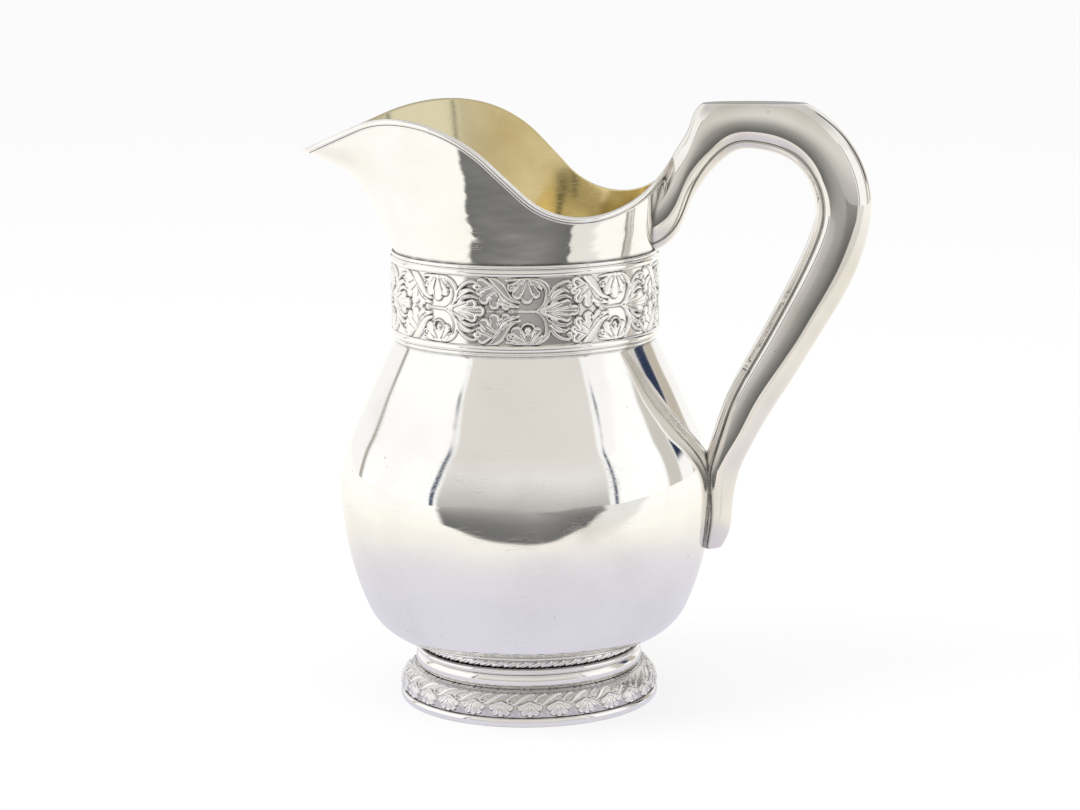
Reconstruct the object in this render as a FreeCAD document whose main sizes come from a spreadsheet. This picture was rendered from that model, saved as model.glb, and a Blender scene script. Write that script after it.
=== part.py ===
import FreeCAD, Part
import math
import os
import Sketcher
from FreeCAD import Placement, Rotation, Vector

# A silver jug: bellied bowl, necked body with a beak spout and a waved lip, foliage band,
# hollow loop handle and a moulded foot. Millimetres, +Z up, origin at the foot's centre.
# The spout points to -X and the handle to +X. The XZ plane is the plane of symmetry.

# Driving dimensions. Angles are in degrees.
SIZES = {
    # sheet metal
    "wall": 1.2,
    # bowl
    "bowl_bottom_height": 22.5,
    "belly_radius": 66.4,
    "belly_height": 77.0,
    "shoulder_rise": 58.3,
    "shoulder_curve_radius": 53.0,
    "flank_curve_radius": 105.0,
    "knuckle_radius": 21.0,
    "neck_radius": 46.3,
    # band on the neck
    "band_height": 23.4,
    "band_thickness": 1.1,
    "moulding_bead": 2.6,
    "moulding_reed": 1.3,
    "moulding_web": 0.3,
    # neck, spout and lip, with heights above the neck's foot
    "lip_crest_rise": 48.7,
    "lip_crest_x": -36.5,
    "lip_front_curve_radius": 46.0,
    "lip_crest_curve_radius": 48.0,
    "lip_valley_rise": 15.9,
    "lip_valley_x": 27.5,
    "lip_valley_curve_radius": 27.0,
    "lip_flare": 9.3,
    "beak_lean": 0.4,
    "beak_curl": 15.5,
    "beak_curl_rise": 23.4,
    "beak_curl_height": 15.0,
    "beak_spread": 14.0,
    "rim_wire_height": 2.4,
    "rim_wire_thickness": 1.1,
    # handle
    "loop_centre_x": 81.5,
    "loop_centre_rise": 14.4,
    "loop_inner_radius": 21.0,
    "loop_depth_top": 20.4,
    "loop_depth_side": 19.4,
    "grip_width": 16.5,
    "thumb_rest_rise": 37.2,
    "root_width": 20.0,
    "root_heel_drop": 0.6,
    "root_height": 35.0,
    "leg_depth": 16.6,
    "leg_width": 14.0,
    "tail_depth": 10.0,
    "tail_width": 11.5,
    "tail_drop": 21.5,
    "seam_depth": 3.3,
    "vent_radius": 0.8,
    # foot: how far its inside stands in from the belly, and how far its rings reach out from there
    "foot_inset": 30.1,
    "foot_ring_step": 2.3,
    "leaf_wire_height": 3.1,
    "leaf_wire_reach": 3.4,
    "top_ring_height": 2.3,
    "top_ring_reach": 4.3,
    "collar_reach": 4.5,
    "border_reach": 9.6,
    "border_bulge": 1.9,
    "border_crest_height": 12.2,
    "border_crest_reach": 4.9,
    "base_height": 3.2,
    "base_reach": 10.2,
}

doc = FreeCAD.newDocument("jug")
sheet = doc.addObject("Spreadsheet::Sheet", "dims")
for row, (alias, number) in enumerate(SIZES.items(), start=1):
    sheet.set("A%d" % row, alias)
    sheet.set("B%d" % row, str(number))
    sheet.setAlias("B%d" % row, alias)
doc.recompute()


class Size:
    """A length that knows its number and the expression that binds it to the sheet."""

    def __init__(self, number, text):
        self.number = number
        self.text = text

    def __add__(self, other):
        other = as_size(other)
        return Size(self.number + other.number, "(%s + %s)" % (self.text, other.text))

    def __sub__(self, other):
        other = as_size(other)
        return Size(self.number - other.number, "(%s - %s)" % (self.text, other.text))

    def __mul__(self, factor):
        return Size(self.number * factor, "(%s * %r)" % (self.text, factor))


def as_size(value):
    """A plain number as a size of its own."""
    return value if isinstance(value, Size) else Size(float(value), repr(float(value)))


def dim(alias):
    """The driving dimension with that name."""
    return Size(float(sheet.get(alias)), "dims." + alias)


def num(alias):
    """The number in the driving dimension's cell, for shapes set by a formula."""
    return float(sheet.get(alias))


UPRIGHT = Placement(Vector(0, 0, 0), Rotation(Vector(1, 0, 0), 90))
# how far a half-round bead stands out, as a share of its height
BEAD_ROUND = 0.42
SEAM_BEHIND_BEAD = 0.5
# how far the foot's lowest edge stands out, as a share of its height
BASE_ROUND = 0.25


# Sketching helpers. A sketch in the XZ plane has x outwards and y upwards.

def pin_point(sketch, edge, end, x, y):
    """Hold one end of an edge at a place that follows the sheet."""
    for kind, size in (("DistanceX", x), ("DistanceY", y)):
        size = as_size(size)
        index = sketch.addConstraint(Sketcher.Constraint(kind, -1, 1, edge, end, size.number))
        sketch.setExpression("Constraints[%d]" % index, size.text)


def outline(sketch, corners):
    """Draw a closed outline through corners (x, y, bulge). A bulge is the height of the arc
    over the edge that starts there, to the right of travel, and None makes it straight."""
    count = len(corners)
    for index, (x, y, bulge) in enumerate(corners):
        x2, y2 = corners[(index + 1) % count][:2]
        start = Vector(as_size(x).number, as_size(y).number, 0)
        end = Vector(as_size(x2).number, as_size(y2).number, 0)
        if bulge is None:
            sketch.addGeometry(Part.LineSegment(start, end))
        else:
            sketch.addGeometry(bulged_arc(start, end, as_size(bulge).number))
    for index, (x, y, bulge) in enumerate(corners):
        following = (index + 1) % count
        start, end = edge_ends(sketch, index, x, y)
        next_start = edge_ends(sketch, following, *corners[following][:2])[0]
        sketch.addConstraint(Sketcher.Constraint("Coincident", index, end, following, next_start))
        pin_point(sketch, index, start, x, y)
        if bulge is not None:
            bind_arc(sketch, index, corners[index], corners[following])


def bulged_arc(start, end, bulge):
    """An arc between two points whose middle stands out to the right of travel by bulge."""
    chord = end - start
    right = Vector(chord.y, -chord.x, 0).normalize()
    radius = chord.Length ** 2 / (8 * bulge) + bulge / 2
    centre = (start + end) * 0.5 + right * (bulge - radius)
    first, last = (start, end) if bulge > 0 else (end, start)
    angles = [math.atan2(point.y - centre.y, point.x - centre.x) for point in (first, last)]
    circle = Part.Circle(centre, Vector(0, 0, 1), abs(radius))
    return Part.ArcOfCircle(circle, angles[0], angles[1])


def edge_ends(sketch, index, x, y):
    """Which end of an edge is its start in the outline, because an arc may run backwards."""
    wanted = Vector(as_size(x).number, as_size(y).number, 0)
    if sketch.getPoint(index, 1).distanceToPoint(wanted) < 1e-4:
        return 1, 2
    return 2, 1


def bind_arc(sketch, index, corner, following):
    """Give an arc the radius that its chord and its bulge make."""
    dx = as_size(following[0]) - corner[0]
    dy = as_size(following[1]) - corner[1]
    bulge = as_size(corner[2])
    radius = "abs((%s^2 + %s^2) / 8 / %s + %s / 2)" % (dx.text, dy.text, bulge.text, bulge.text)
    number = sketch.Geometry[index].Radius
    bound = sketch.addConstraint(Sketcher.Constraint("Radius", index, number))
    sketch.setExpression("Constraints[%d]" % bound, radius)


def ring(name, corners):
    """A ring turned about the Z axis from an outline in the XZ plane."""
    body = doc.addObject("PartDesign::Body", name)
    planes = {plane.Role: plane for plane in body.Origin.OriginFeatures}
    sketch = body.newObject("Sketcher::SketchObject", name + "_profile")
    sketch.AttachmentSupport = [(planes["XZ_Plane"], "")]
    sketch.MapMode = "FlatFace"
    outline(sketch, corners)
    turned = body.newObject("PartDesign::Revolution", name + "_turned")
    turned.Profile = sketch
    turned.ReferenceAxis = (sketch, ["V_Axis"])
    turned.Angle = 360
    return body


def upright_sketch(name):
    """A free sketch standing in the XZ plane."""
    sketch = doc.addObject("Sketcher::SketchObject", name)
    sketch.Placement = UPRIGHT
    return sketch


def boolean(kind, name, base, tool):
    """A boolean of two objects of the document."""
    result = doc.addObject("Part::" + kind, name)
    result.Base = base
    result.Tool = tool
    return result


# Bowl

def band_bottom():
    """The height of the band's lower edge, over the belly and its shoulder."""
    return dim("belly_height") + dim("shoulder_rise")


def seam_height():
    """Where bowl and neck are joined, behind the bead of the band's upper moulding."""
    return band_bottom() + dim("band_height") + dim("moulding_bead") * SEAM_BEHIND_BEAD


def neck_foot():
    """Where the neck starts to flare: the top of the band's upper moulding."""
    return band_bottom() + dim("band_height") + dim("moulding_bead") + dim("moulding_reed")


def bowl_sketch():
    """Half of the bowl's outer form: neck, straight shoulder, three tangent arcs, flat bottom."""
    sketch = upright_sketch("bowl_profile")
    neck = dim("neck_radius")
    top = seam_height()
    shoulder = band_bottom() - dim("moulding_bead") - dim("moulding_reed")
    bottom = dim("bowl_bottom_height")
    r_shoulder = dim("shoulder_curve_radius").number
    r_flank = dim("flank_curve_radius").number
    r_knuckle = dim("knuckle_radius").number
    belly = dim("belly_radius").number
    waist = dim("belly_height").number
    # the straight shoulder leaves the neck's corner and touches the shoulder arc
    corner = Vector(neck.number, shoulder.number, 0)
    upper = Vector(belly - r_shoulder, waist, 0)
    to_corner = corner - upper
    turn = math.acos(r_shoulder / to_corner.Length)
    touch_angle = math.atan2(to_corner.y, to_corner.x) - turn
    touch = upper + Vector(math.cos(touch_angle), math.sin(touch_angle), 0) * r_shoulder
    # the knuckle arc lies inside the flank arc and touches the bottom
    lower = Vector(belly - r_flank, waist, 0)
    reach = r_flank - r_knuckle
    knuckle_y = bottom.number + r_knuckle
    drop = knuckle_y - waist
    knuckle = Vector(lower.x + math.sqrt(reach ** 2 - drop ** 2), knuckle_y, 0)
    meet = lower + (knuckle - lower).normalize() * r_flank
    rest = Vector(knuckle.x, bottom.number, 0)
    start = Vector(0, top.number, 0)
    end = Vector(0, bottom.number, 0)
    rim = Vector(neck.number, top.number, 0)
    flat_up = Vector(0, 0, 1)
    flank_angle = math.atan2((meet - lower).y, (meet - lower).x)
    sketch.addGeometry(Part.LineSegment(start, rim))
    sketch.addGeometry(Part.LineSegment(rim, corner))
    sketch.addGeometry(Part.LineSegment(corner, touch))
    sketch.addGeometry(Part.ArcOfCircle(Part.Circle(upper, flat_up, r_shoulder), 0, touch_angle))
    sketch.addGeometry(Part.ArcOfCircle(Part.Circle(lower, flat_up, r_flank), flank_angle, 0))
    sketch.addGeometry(
        Part.ArcOfCircle(Part.Circle(knuckle, flat_up, r_knuckle), -math.pi / 2, flank_angle))
    sketch.addGeometry(Part.LineSegment(rest, end))
    sketch.addGeometry(Part.LineSegment(end, start))
    top_line, neck_line, shoulder_line, shoulder_arc, flank_arc, knuckle_arc, floor_line, axis = range(8)
    for first, first_end, second, second_end in (
            (top_line, 2, neck_line, 1), (neck_line, 2, shoulder_line, 1),
            (floor_line, 2, axis, 1), (axis, 2, top_line, 1)):
        sketch.addConstraint(
            Sketcher.Constraint("Coincident", first, first_end, second, second_end))
    for first, first_end, second, second_end in (
            (shoulder_line, 2, shoulder_arc, 2), (shoulder_arc, 1, flank_arc, 2),
            (flank_arc, 1, knuckle_arc, 2), (knuckle_arc, 1, floor_line, 1)):
        sketch.addConstraint(
            Sketcher.Constraint("Tangent", first, first_end, second, second_end))
    sketch.addConstraint(Sketcher.Constraint("Horizontal", floor_line))
    pin_point(sketch, top_line, 1, 0, top)
    pin_point(sketch, neck_line, 1, neck, top)
    pin_point(sketch, neck_line, 2, neck, shoulder)
    pin_point(sketch, floor_line, 2, 0, bottom)
    pin_point(sketch, shoulder_arc, 1, dim("belly_radius"), dim("belly_height"))
    sketch.addConstraint(Sketcher.Constraint("Horizontal", shoulder_arc, 1, shoulder_arc, 3))
    for arc, alias in ((shoulder_arc, "shoulder_curve_radius"),
                       (flank_arc, "flank_curve_radius"), (knuckle_arc, "knuckle_radius")):
        size = dim(alias)
        index = sketch.addConstraint(Sketcher.Constraint("Radius", arc, size.number))
        sketch.setExpression("Constraints[%d]" % index, size.text)
    return sketch


bowl_form = doc.addObject("Part::Revolution", "bowl_form")
bowl_form.Source = bowl_sketch()
bowl_form.Axis = Vector(0, 0, 1)
bowl_form.Angle = 360
bowl_form.Solid = True
doc.recompute()


def top_face(shape):
    """The name of the highest flat face, which a shell leaves open."""
    heights = [face.CenterOfMass.z for face in shape.Faces]
    return "Face%d" % (heights.index(max(heights)) + 1)


bowl = doc.addObject("Part::Thickness", "belly_bowl")
bowl.Faces = (bowl_form, [top_face(bowl_form.Shape)])
bowl.setExpression("Value", "-dims.wall")
bowl.Join = 0


# Neck with the spout

def smooth_step(value):
    """Zero below 0, one above 1 and level at both ends."""
    value = min(max(value, 0.0), 1.0)
    return value * value * (3 - 2 * value)


def neck_radius_at(turn, height):
    """The neck's outer radius: a flaring round neck with a beak at the front, whose section
    is a peak with a rounded tip. The turn is measured from the front, and is pi at the handle."""
    rise = max(0.0, height - neck_foot().number)
    flare = (rise / num("lip_crest_rise")) ** FLARE_POWER
    radius = num("neck_radius") + flare * num("lip_flare")
    curl = (rise - num("beak_curl_rise")) / num("beak_curl_height")
    beak = num("beak_lean") * rise + num("beak_curl") * smooth_step(curl)
    spread = abs(turn) / math.radians(num("beak_spread"))
    away = math.hypot(spread, BEAK_TIP_ROUND) ** BEAK_POWER - BEAK_TIP_ROUND ** BEAK_POWER
    return radius + beak * math.exp(-away)


def neck_point(turn, height, offset):
    """A point of the neck's outside, moved out level along the section's normal, by more
    where the wall leans, so that a wall between two such forms has an even thickness."""
    step = 1e-3
    radius = neck_radius_at(turn, height)
    along = (neck_radius_at(turn + step, height) - neck_radius_at(turn - step, height)) / (2 * step)
    lean = neck_radius_at(turn, height + step) - neck_radius_at(turn, height - step)
    lean /= 2 * step * math.hypot(1.0, along / radius)
    outward = Vector(-math.cos(turn), math.sin(turn), 0)
    forward = Vector(math.sin(turn), math.cos(turn), 0)
    normal = (outward * radius - forward * along).normalize()
    return outward * radius + normal * (offset * math.hypot(1.0, lean)) + Vector(0, 0, height)


FLARE_POWER = 1.2
BEAK_POWER = 1.3
BEAK_TIP_ROUND = 0.35
# where the lip's side outline joins its front arc and leaves its valley arc
LIP_FRONT_ANGLE = 114
LIP_BACK_ANGLE = -25
# points of half a section, how much closer they stand at the spout, sections by height
NECK_POINTS = 24
SPOUT_BUNCHING = 0.5
FLARE_SHARES = (0.25, 0.5, 0.75)
CURL_SHARES = (0.0, 0.25, 0.5, 0.75, 1.0)


def mirrored_section(points):
    """A smooth closed section, the same on both sides of the plane of symmetry, through points
    on one side from the first to the last point on that plane, with like knots every time."""
    others = [Vector(point.x, -point.y, point.z) for point in reversed(points[1:-1])]
    round_trip = points + others
    curve = Part.BSplineCurve()
    knots = [float(index) for index in range(len(round_trip) + 1)]
    curve.interpolate(Points=round_trip, PeriodicFlag=True, Parameters=knots)
    return [curve]


def skin(curves, places):
    """A smooth face through curves with like knots: every control point runs through the
    control points of its neighbours on a spline of its own."""
    columns = []
    for column in zip(*[curve.getPoles() for curve in curves]):
        run = Part.BSplineCurve()
        run.interpolate(Points=list(column), Parameters=places)
        columns.append(run)
    across = curves[0]
    along = columns[0]
    surface = Part.BSplineSurface()
    surface.buildFromPolesMultsKnots(
        [column.getPoles() for column in columns], across.getMultiplicities(),
        along.getMultiplicities(), across.getKnots(), along.getKnots(), across.isPeriodic(), False,
        across.Degree, along.Degree)
    return surface.toShape()


def skinned_solid(name, sections, places):
    """A closed solid through closed sections, each a list of curves, with flat ends."""
    faces = [skin(curves, places) for curves in zip(*sections)]
    for section in (sections[0], sections[-1]):
        faces.append(Part.Face(Part.Wire([curve.toShape() for curve in section])))
    shell = Part.Shell(faces)
    shell.sewShape()
    solid = Part.Solid(shell)
    if solid.Volume < 0:
        solid.reverse()
    feature = doc.addObject("Part::Feature", name)
    feature.Shape = solid
    return feature


def neck_section(height, offset):
    """A level closed section of the neck, with its points closer together at the spout."""
    points = []
    for index in range(NECK_POINTS + 1):
        share = math.pi * index / NECK_POINTS
        points.append(neck_point(share - SPOUT_BUNCHING * math.sin(share), height, offset))
    points[0].y = 0.0
    points[-1].y = 0.0
    return mirrored_section(points)


def neck_loft(name, offset, low, high):
    """The neck's form between two heights, moved out by offset, through level sections that
    stand closer together where the spout curls out."""
    foot = neck_foot().number
    start = foot + num("beak_curl_rise")
    end = start + num("beak_curl_height")
    heights = [low, (low + foot) / 2, foot]
    heights += [foot + (start - foot) * share for share in FLARE_SHARES]
    heights += [start + (end - start) * share for share in CURL_SHARES]
    heights += [(end + high) / 2, high]
    return skinned_solid(name, [neck_section(height, offset) for height in heights], heights)


def lip_crest():
    """The height of the lip's highest point."""
    return neck_foot().number + num("lip_crest_rise")


def lip_edge(lower):
    """The lip's side outline, lowered by a distance along its normal: straight front, front
    arc, crest arc, straight fall, valley arc, straight rise. Returns the edges in that order."""
    crest_x = num("lip_crest_x")
    crest_z = lip_crest()
    front = num("lip_front_curve_radius")
    crest = num("lip_crest_curve_radius")
    valley = num("lip_valley_curve_radius")
    front_centre = Vector(crest_x, 0, crest_z - front)
    crest_centre = Vector(crest_x, 0, crest_z - crest)
    valley_z = neck_foot().number + num("lip_valley_rise")
    valley_centre = Vector(num("lip_valley_x"), 0, valley_z + valley)
    # the straight fall is the inner tangent of the crest and valley circles
    between = valley_centre - crest_centre
    lean = math.acos((crest + valley) / between.Length)
    normal_angle = math.atan2(between.z, between.x) + lean
    normal = Vector(math.cos(normal_angle), 0, math.sin(normal_angle))
    front -= lower
    crest -= lower
    valley += lower
    front_angle = math.radians(LIP_FRONT_ANGLE)
    front_start = front_centre + Vector(math.cos(front_angle), 0, math.sin(front_angle)) * front
    front_way = Vector(-math.sin(front_angle), 0, math.cos(front_angle))
    front_end = front_start + front_way * num("belly_radius")
    middle_angle = (front_angle + math.pi / 2) / 2
    front_middle = front_centre + Vector(math.cos(middle_angle), 0, math.sin(middle_angle)) * front
    top = crest_centre + Vector(0, 0, crest)
    fall_start = crest_centre + normal * crest
    crest_angle = (normal_angle + math.pi / 2) / 2
    crest_middle = crest_centre + Vector(math.cos(crest_angle), 0, math.sin(crest_angle)) * crest
    fall_end = valley_centre - normal * valley
    back_angle = math.radians(LIP_BACK_ANGLE)
    back_way = Vector(math.cos(back_angle), 0, math.sin(back_angle))
    valley_end = valley_centre + back_way * valley
    low_angle = (normal_angle - math.pi + back_angle) / 2
    valley_middle = valley_centre + Vector(math.cos(low_angle), 0, math.sin(low_angle)) * valley
    rise_end = valley_end + Vector(-back_way.z, 0, back_way.x) * num("belly_radius")
    return [
        Part.LineSegment(front_end, front_start).toShape(),
        Part.Arc(front_start, front_middle, top).toShape(),
        Part.Arc(top, crest_middle, fall_start).toShape(),
        Part.LineSegment(fall_start, fall_end).toShape(),
        Part.Arc(fall_end, valley_middle, valley_end).toShape(),
        Part.LineSegment(valley_end, rise_end).toShape()]


def above_lip(name, lower):
    """Everything above the lip's side outline, as a block cut across the whole jug."""
    edges = lip_edge(lower)
    first = edges[0].Vertexes[0].Point
    last = edges[-1].Vertexes[-1].Point
    ceiling = lip_crest() + num("belly_radius")
    side = num("belly_radius") * 3
    corners = [last, Vector(last.x, 0, ceiling), Vector(-side, 0, ceiling),
               Vector(-side, 0, first.z), first]
    lines = [Part.LineSegment(a, b).toShape() for a, b in zip(corners, corners[1:])]
    face = Part.Face(Part.Wire(edges + lines))
    face.translate(Vector(0, -side, 0))
    block = doc.addObject("Part::Feature", name)
    block.Shape = face.extrude(Vector(0, 2 * side, 0))
    return block


neck_low = seam_height().number
neck_top = lip_crest() + num("wall") * 2
neck_form = neck_loft("neck_form", 0.0, neck_low, neck_top)
neck_inside = neck_loft(
    "neck_inside", -num("wall"), neck_low - num("wall"), neck_top + num("wall"))
neck_tube = boolean("Cut", "neck_tube", neck_form, neck_inside)
lip_cut = above_lip("lip_cut", 0.0)
neck = boolean("Cut", "neck_spout", neck_tube, lip_cut)

rim_form = neck_loft("rim_form", num("rim_wire_thickness"), neck_low, neck_top)
rim_under = boolean(
    "Common", "rim_below_wire", rim_form, above_lip("rim_cut", num("rim_wire_height")))
rim_band = boolean("Cut", "rim_band", rim_under, above_lip("rim_top_cut", 0.0))
rim_wire = boolean("Cut", "rim_wire", rim_band, neck_form)


# Band and mouldings on the neck

def band_rings():
    """The plain strip and the two mouldings, each a half-round bead beside a small reed."""
    inner = dim("neck_radius")
    outer = inner + dim("band_thickness")
    low = band_bottom()
    high = low + dim("band_height")
    bead = dim("moulding_bead")
    reed = dim("moulding_reed")
    strip = ring("neck_band", [
        (inner, low, None), (outer, low, None), (outer, high, None), (inner, high, None)])
    web = inner + dim("moulding_web")
    upper = ring("band_upper_moulding", [
        (inner, high, None), (web, high, bead * BEAD_ROUND),
        (web, high + bead, reed * BEAD_ROUND), (web, high + bead + reed, None),
        (inner, high + bead + reed, None)])
    lower = ring("band_lower_moulding", [
        (inner, low - bead - reed, None), (web, low - bead - reed, reed * BEAD_ROUND),
        (web, low - bead, bead * BEAD_ROUND), (web, low, None), (inner, low, None)])
    return [strip, upper, lower]


# Foot

def foot_rings():
    """The foot from the bowl down: leaf wire, half-round ring, collar, border, base."""
    inner = dim("belly_radius") - dim("foot_inset")
    ring_inner = inner + dim("foot_ring_step")
    bowl_bottom = dim("bowl_bottom_height")
    leaf_low = bowl_bottom - dim("leaf_wire_height")
    collar_top = leaf_low - dim("top_ring_height")
    leaf_bead = dim("leaf_wire_height") * BEAD_ROUND
    leaf_edge = inner + dim("leaf_wire_reach") - leaf_bead
    ring_bead = dim("top_ring_height") * BEAD_ROUND
    ring_edge = inner + dim("top_ring_reach") - ring_bead
    collar_edge = ring_inner + dim("wall")
    collar_bulge = inner + dim("collar_reach") - collar_edge
    border = inner + dim("border_reach")
    crest_radius = inner + dim("border_crest_reach")
    crest = dim("border_crest_height")
    base = dim("base_height")
    leaf = ring("foot_leaf_wire", [
        (inner, leaf_low, None), (leaf_edge, leaf_low, leaf_bead),
        (leaf_edge, bowl_bottom, None), (inner, bowl_bottom, None)])
    plain = ring("foot_top_ring", [
        (inner, collar_top, None), (ring_edge, collar_top, ring_bead),
        (ring_edge, leaf_low, None), (inner, leaf_low, None)])
    collar = ring("foot_collar", [
        (ring_inner, crest, None), (collar_edge, crest, collar_bulge),
        (collar_edge, collar_top, None), (ring_inner, collar_top, collar_bulge * -1.0)])
    edge = base + dim("wall")
    cast = ring("foot_border_ring", [
        (ring_inner, base, None), (border - dim("wall"), base, None), (border, edge, dim("border_bulge")),
        (crest_radius, crest, None), (ring_inner, crest, None)])
    base_bead = base * BASE_ROUND
    flange_edge = inner + dim("base_reach") - base_bead
    flange = ring("foot_base_ring", [
        (ring_inner, 0, None), (flange_edge, 0, base_bead), (flange_edge, base, None),
        (ring_inner, base, None)])
    return [leaf, plain, collar, cast, flange]


# Handle: a hollow oval carried along a list of stations from inside the neck to the tail

def bowl_radius(height):
    """The bowl's outer radius on its shoulder or flank arc."""
    alias = "shoulder_curve_radius" if height > num("belly_height") else "flank_curve_radius"
    curve = num(alias)
    return num("belly_radius") - curve + math.sqrt(curve ** 2 - (height - num("belly_height")) ** 2)


class Station:
    """One oval across the handle: its finger-side point, its back point and its width."""

    def __init__(self, finger, back, width):
        self.finger = finger
        self.outward = (back - finger).normalize()
        self.depth = (back - finger).Length
        self.width = width

    def centre(self):
        """The middle of the oval."""
        return self.finger + self.outward * (self.depth / 2)

    def oval(self, inset):
        """A closed oval, moved in by inset, that starts at the finger side."""
        half_depth = self.depth / 2 - inset
        half_width = self.width / 2 - inset
        centre = self.centre()
        points = []
        for index in range(OVAL_POINTS + 1):
            angle = math.pi * index / OVAL_POINTS
            along = self.outward * (-half_depth * math.cos(angle))
            points.append(centre + along + Vector(0, half_width * math.sin(angle), 0))
        points[-1].y = 0.0
        return mirrored_section(points)

    def finger_side(self, seam):
        """A rectangle that covers the oval's finger side as far as the seam."""
        side = Vector(0, self.width, 0)
        low = self.finger - self.outward * (self.depth / 2)
        high = self.finger + self.outward * min(seam, self.depth * SEAM_LIMIT)
        corners = [low - side, low + side, high + side, high - side, low - side]
        edges = []
        for start, end in zip(corners, corners[1:]):
            edge = Part.BSplineCurve()
            edge.buildFromPolesMultsKnots([start, end], (2, 2), (0.0, 1.0), False, 1)
            edges.append(edge)
        return edges


OVAL_POINTS = 10
# root: finger side out from the neck and up from the heel, back out from the neck and up from
# the root's top, share of the way from the root's width to the grip's
ROOT_STEPS = (
    (-6.5, -0.5, -6.5, -20.0, 0.0), (1.2, 0.6, 2.2, -8.0, 0.0),
    (9.0, 7.8, 8.2, 1.5, 0.4), (14.1, 19.8, 12.1, 8.4, 0.8))
LOOP_ANGLES = (115, 90, 60, 30, 0, -22)
# leg: shares along its curve, how far its ends pull the curve, where and how it lands
LEG_SHARES = (0.25, 0.5, 0.75, 1.0)
LEG_START_PULL = 40.0
LEG_END_PULL = 22.0
LEG_LANDING = Vector(-0.2, 0, 18.0)
LEG_LANDING_COURSE = Vector(-0.2, 0, -0.98)
LEG_THINNING = 0.35
# tail: height above its end, how far it stands out past its depth, share of its width
TAIL_STEPS = ((28.5, 0.6, 1.1), (14.5, -2.3, 1.0), (4.5, -2.8, 0.9), (1.0, -4.0, 0.62))
TAIL_SINK = 2.6
# the seam never takes more than this share of the handle's depth
SEAM_LIMIT = 0.45


def at(x, z):
    """A point in the plane of symmetry."""
    return Vector(x, 0, z)


def root_stations():
    """From inside the neck wall through the heel to the throat of the loop."""
    neck_x = num("neck_radius")
    heel = neck_foot().number - num("root_heel_drop")
    top = heel + num("root_height")
    stations = []
    for finger_out, finger_up, back_out, back_up, share in ROOT_STEPS:
        width = num("root_width") * (1 - share) + num("grip_width") * share
        finger = at(neck_x + finger_out, heel + finger_up)
        stations.append(Station(finger, at(neck_x + back_out, top + back_up), width))
    return stations


def loop_centre_height():
    """The height of the centre of the handle's loop."""
    return neck_foot() + dim("loop_centre_rise")


def loop_stations():
    """Round the loop, each oval square to the loop's circle."""
    centre = at(num("loop_centre_x"), loop_centre_height().number)
    stations = []
    for angle in LOOP_ANGLES:
        turn = math.radians(angle)
        outward = at(math.cos(turn), math.sin(turn))
        share = min(1.0, (90 - angle) / 90) if angle < 90 else 0.0
        depth = num("loop_depth_top") * (1 - share) + num("loop_depth_side") * share
        finger = centre + outward * num("loop_inner_radius")
        stations.append(Station(finger, finger + outward * depth, num("grip_width")))
    return stations


def leg_stations(start):
    """Down the leg: the finger side follows a curve that leaves the loop and lands upright."""
    leave = at(start.outward.z, -start.outward.x)
    land = at(num("belly_radius"), num("belly_height")) + LEG_LANDING
    before_land = land - LEG_LANDING_COURSE * LEG_END_PULL
    points = [start.finger, start.finger + leave * LEG_START_PULL, before_land, land]
    curve = Part.BezierCurve()
    curve.setPoles(points)
    stations = []
    for share in LEG_SHARES:
        finger = curve.value(share)
        travel = curve.tangent(share)[0]
        outward = at(-travel.z, travel.x)
        depth = start.depth * (1 - share) + num("leg_depth") * share
        depth -= (num("leg_depth") - num("tail_depth")) * LEG_THINNING * share ** 4
        width = start.width * (1 - share) + num("leg_width") * share
        stations.append(Station(finger, finger + outward * depth, width))
    return stations


def tail_stations():
    """Along the bowl, half sunk before it is fitted, to a rounded nose."""
    depth = num("tail_depth")
    width = num("tail_width")
    end = num("belly_height") - num("tail_drop")
    stations = []
    for above_end, past_depth, share in TAIL_STEPS:
        height = end + above_end
        radius = bowl_radius(height)
        finger = at(radius - TAIL_SINK, height)
        stations.append(Station(finger, at(radius + depth + past_depth, height), width * share))
    return stations


def handle_loft(name, stations, sections):
    """A solid along the handle through one section for each station."""
    places = [0.0]
    for before, after in zip(stations, stations[1:]):
        places.append(places[-1] + after.centre().distanceToPoint(before.centre()))
    return skinned_solid(name, sections, places)


def flat_above(name, height):
    """A block that takes off everything above the thumb rest."""
    block = doc.addObject("Part::Box", name)
    block.setExpression("Length", "dims.belly_radius * 3")
    block.setExpression("Width", "dims.belly_radius")
    block.setExpression("Height", "dims.belly_radius")
    block.setExpression("Placement.Base.y", "-dims.belly_radius / 2")
    block.setExpression("Placement.Base.z", height.text)
    return block


stations = root_stations() + loop_stations()
stations += leg_stations(stations[-1])
stations += tail_stations()
wall = num("wall")
rest_height = loop_centre_height() + dim("thumb_rest_rise")

hull = handle_loft("handle_hull", stations, [station.oval(0.0) for station in stations])
hull_flat = boolean("Cut", "handle_hull_flat", hull, flat_above("thumb_cut", rest_height))
hollow = handle_loft(
    "handle_hollow", stations[:-1], [station.oval(wall) for station in stations[:-1]])
hollow_flat = boolean(
    "Cut", "handle_hollow_flat", hollow, flat_above("thumb_cut_inside", rest_height - dim("wall")))
handle_on_neck = boolean("Cut", "handle_on_neck", hull_flat, neck_form)
handle_on_rim = boolean("Cut", "handle_on_rim", handle_on_neck, rim_under)
handle_fitted = boolean("Cut", "handle_fitted", handle_on_rim, bowl_form)
handle_shell = boolean("Cut", "handle_shell", handle_fitted, hollow_flat)
seam_depth = num("seam_depth")
finger_side = handle_loft(
    "handle_finger_side", stations, [station.finger_side(seam_depth) for station in stations])
handle_back_whole = boolean("Cut", "handle_back_whole", handle_shell, finger_side)
inner_strip = boolean("Common", "handle_inner_strip", handle_shell, finger_side)

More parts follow.
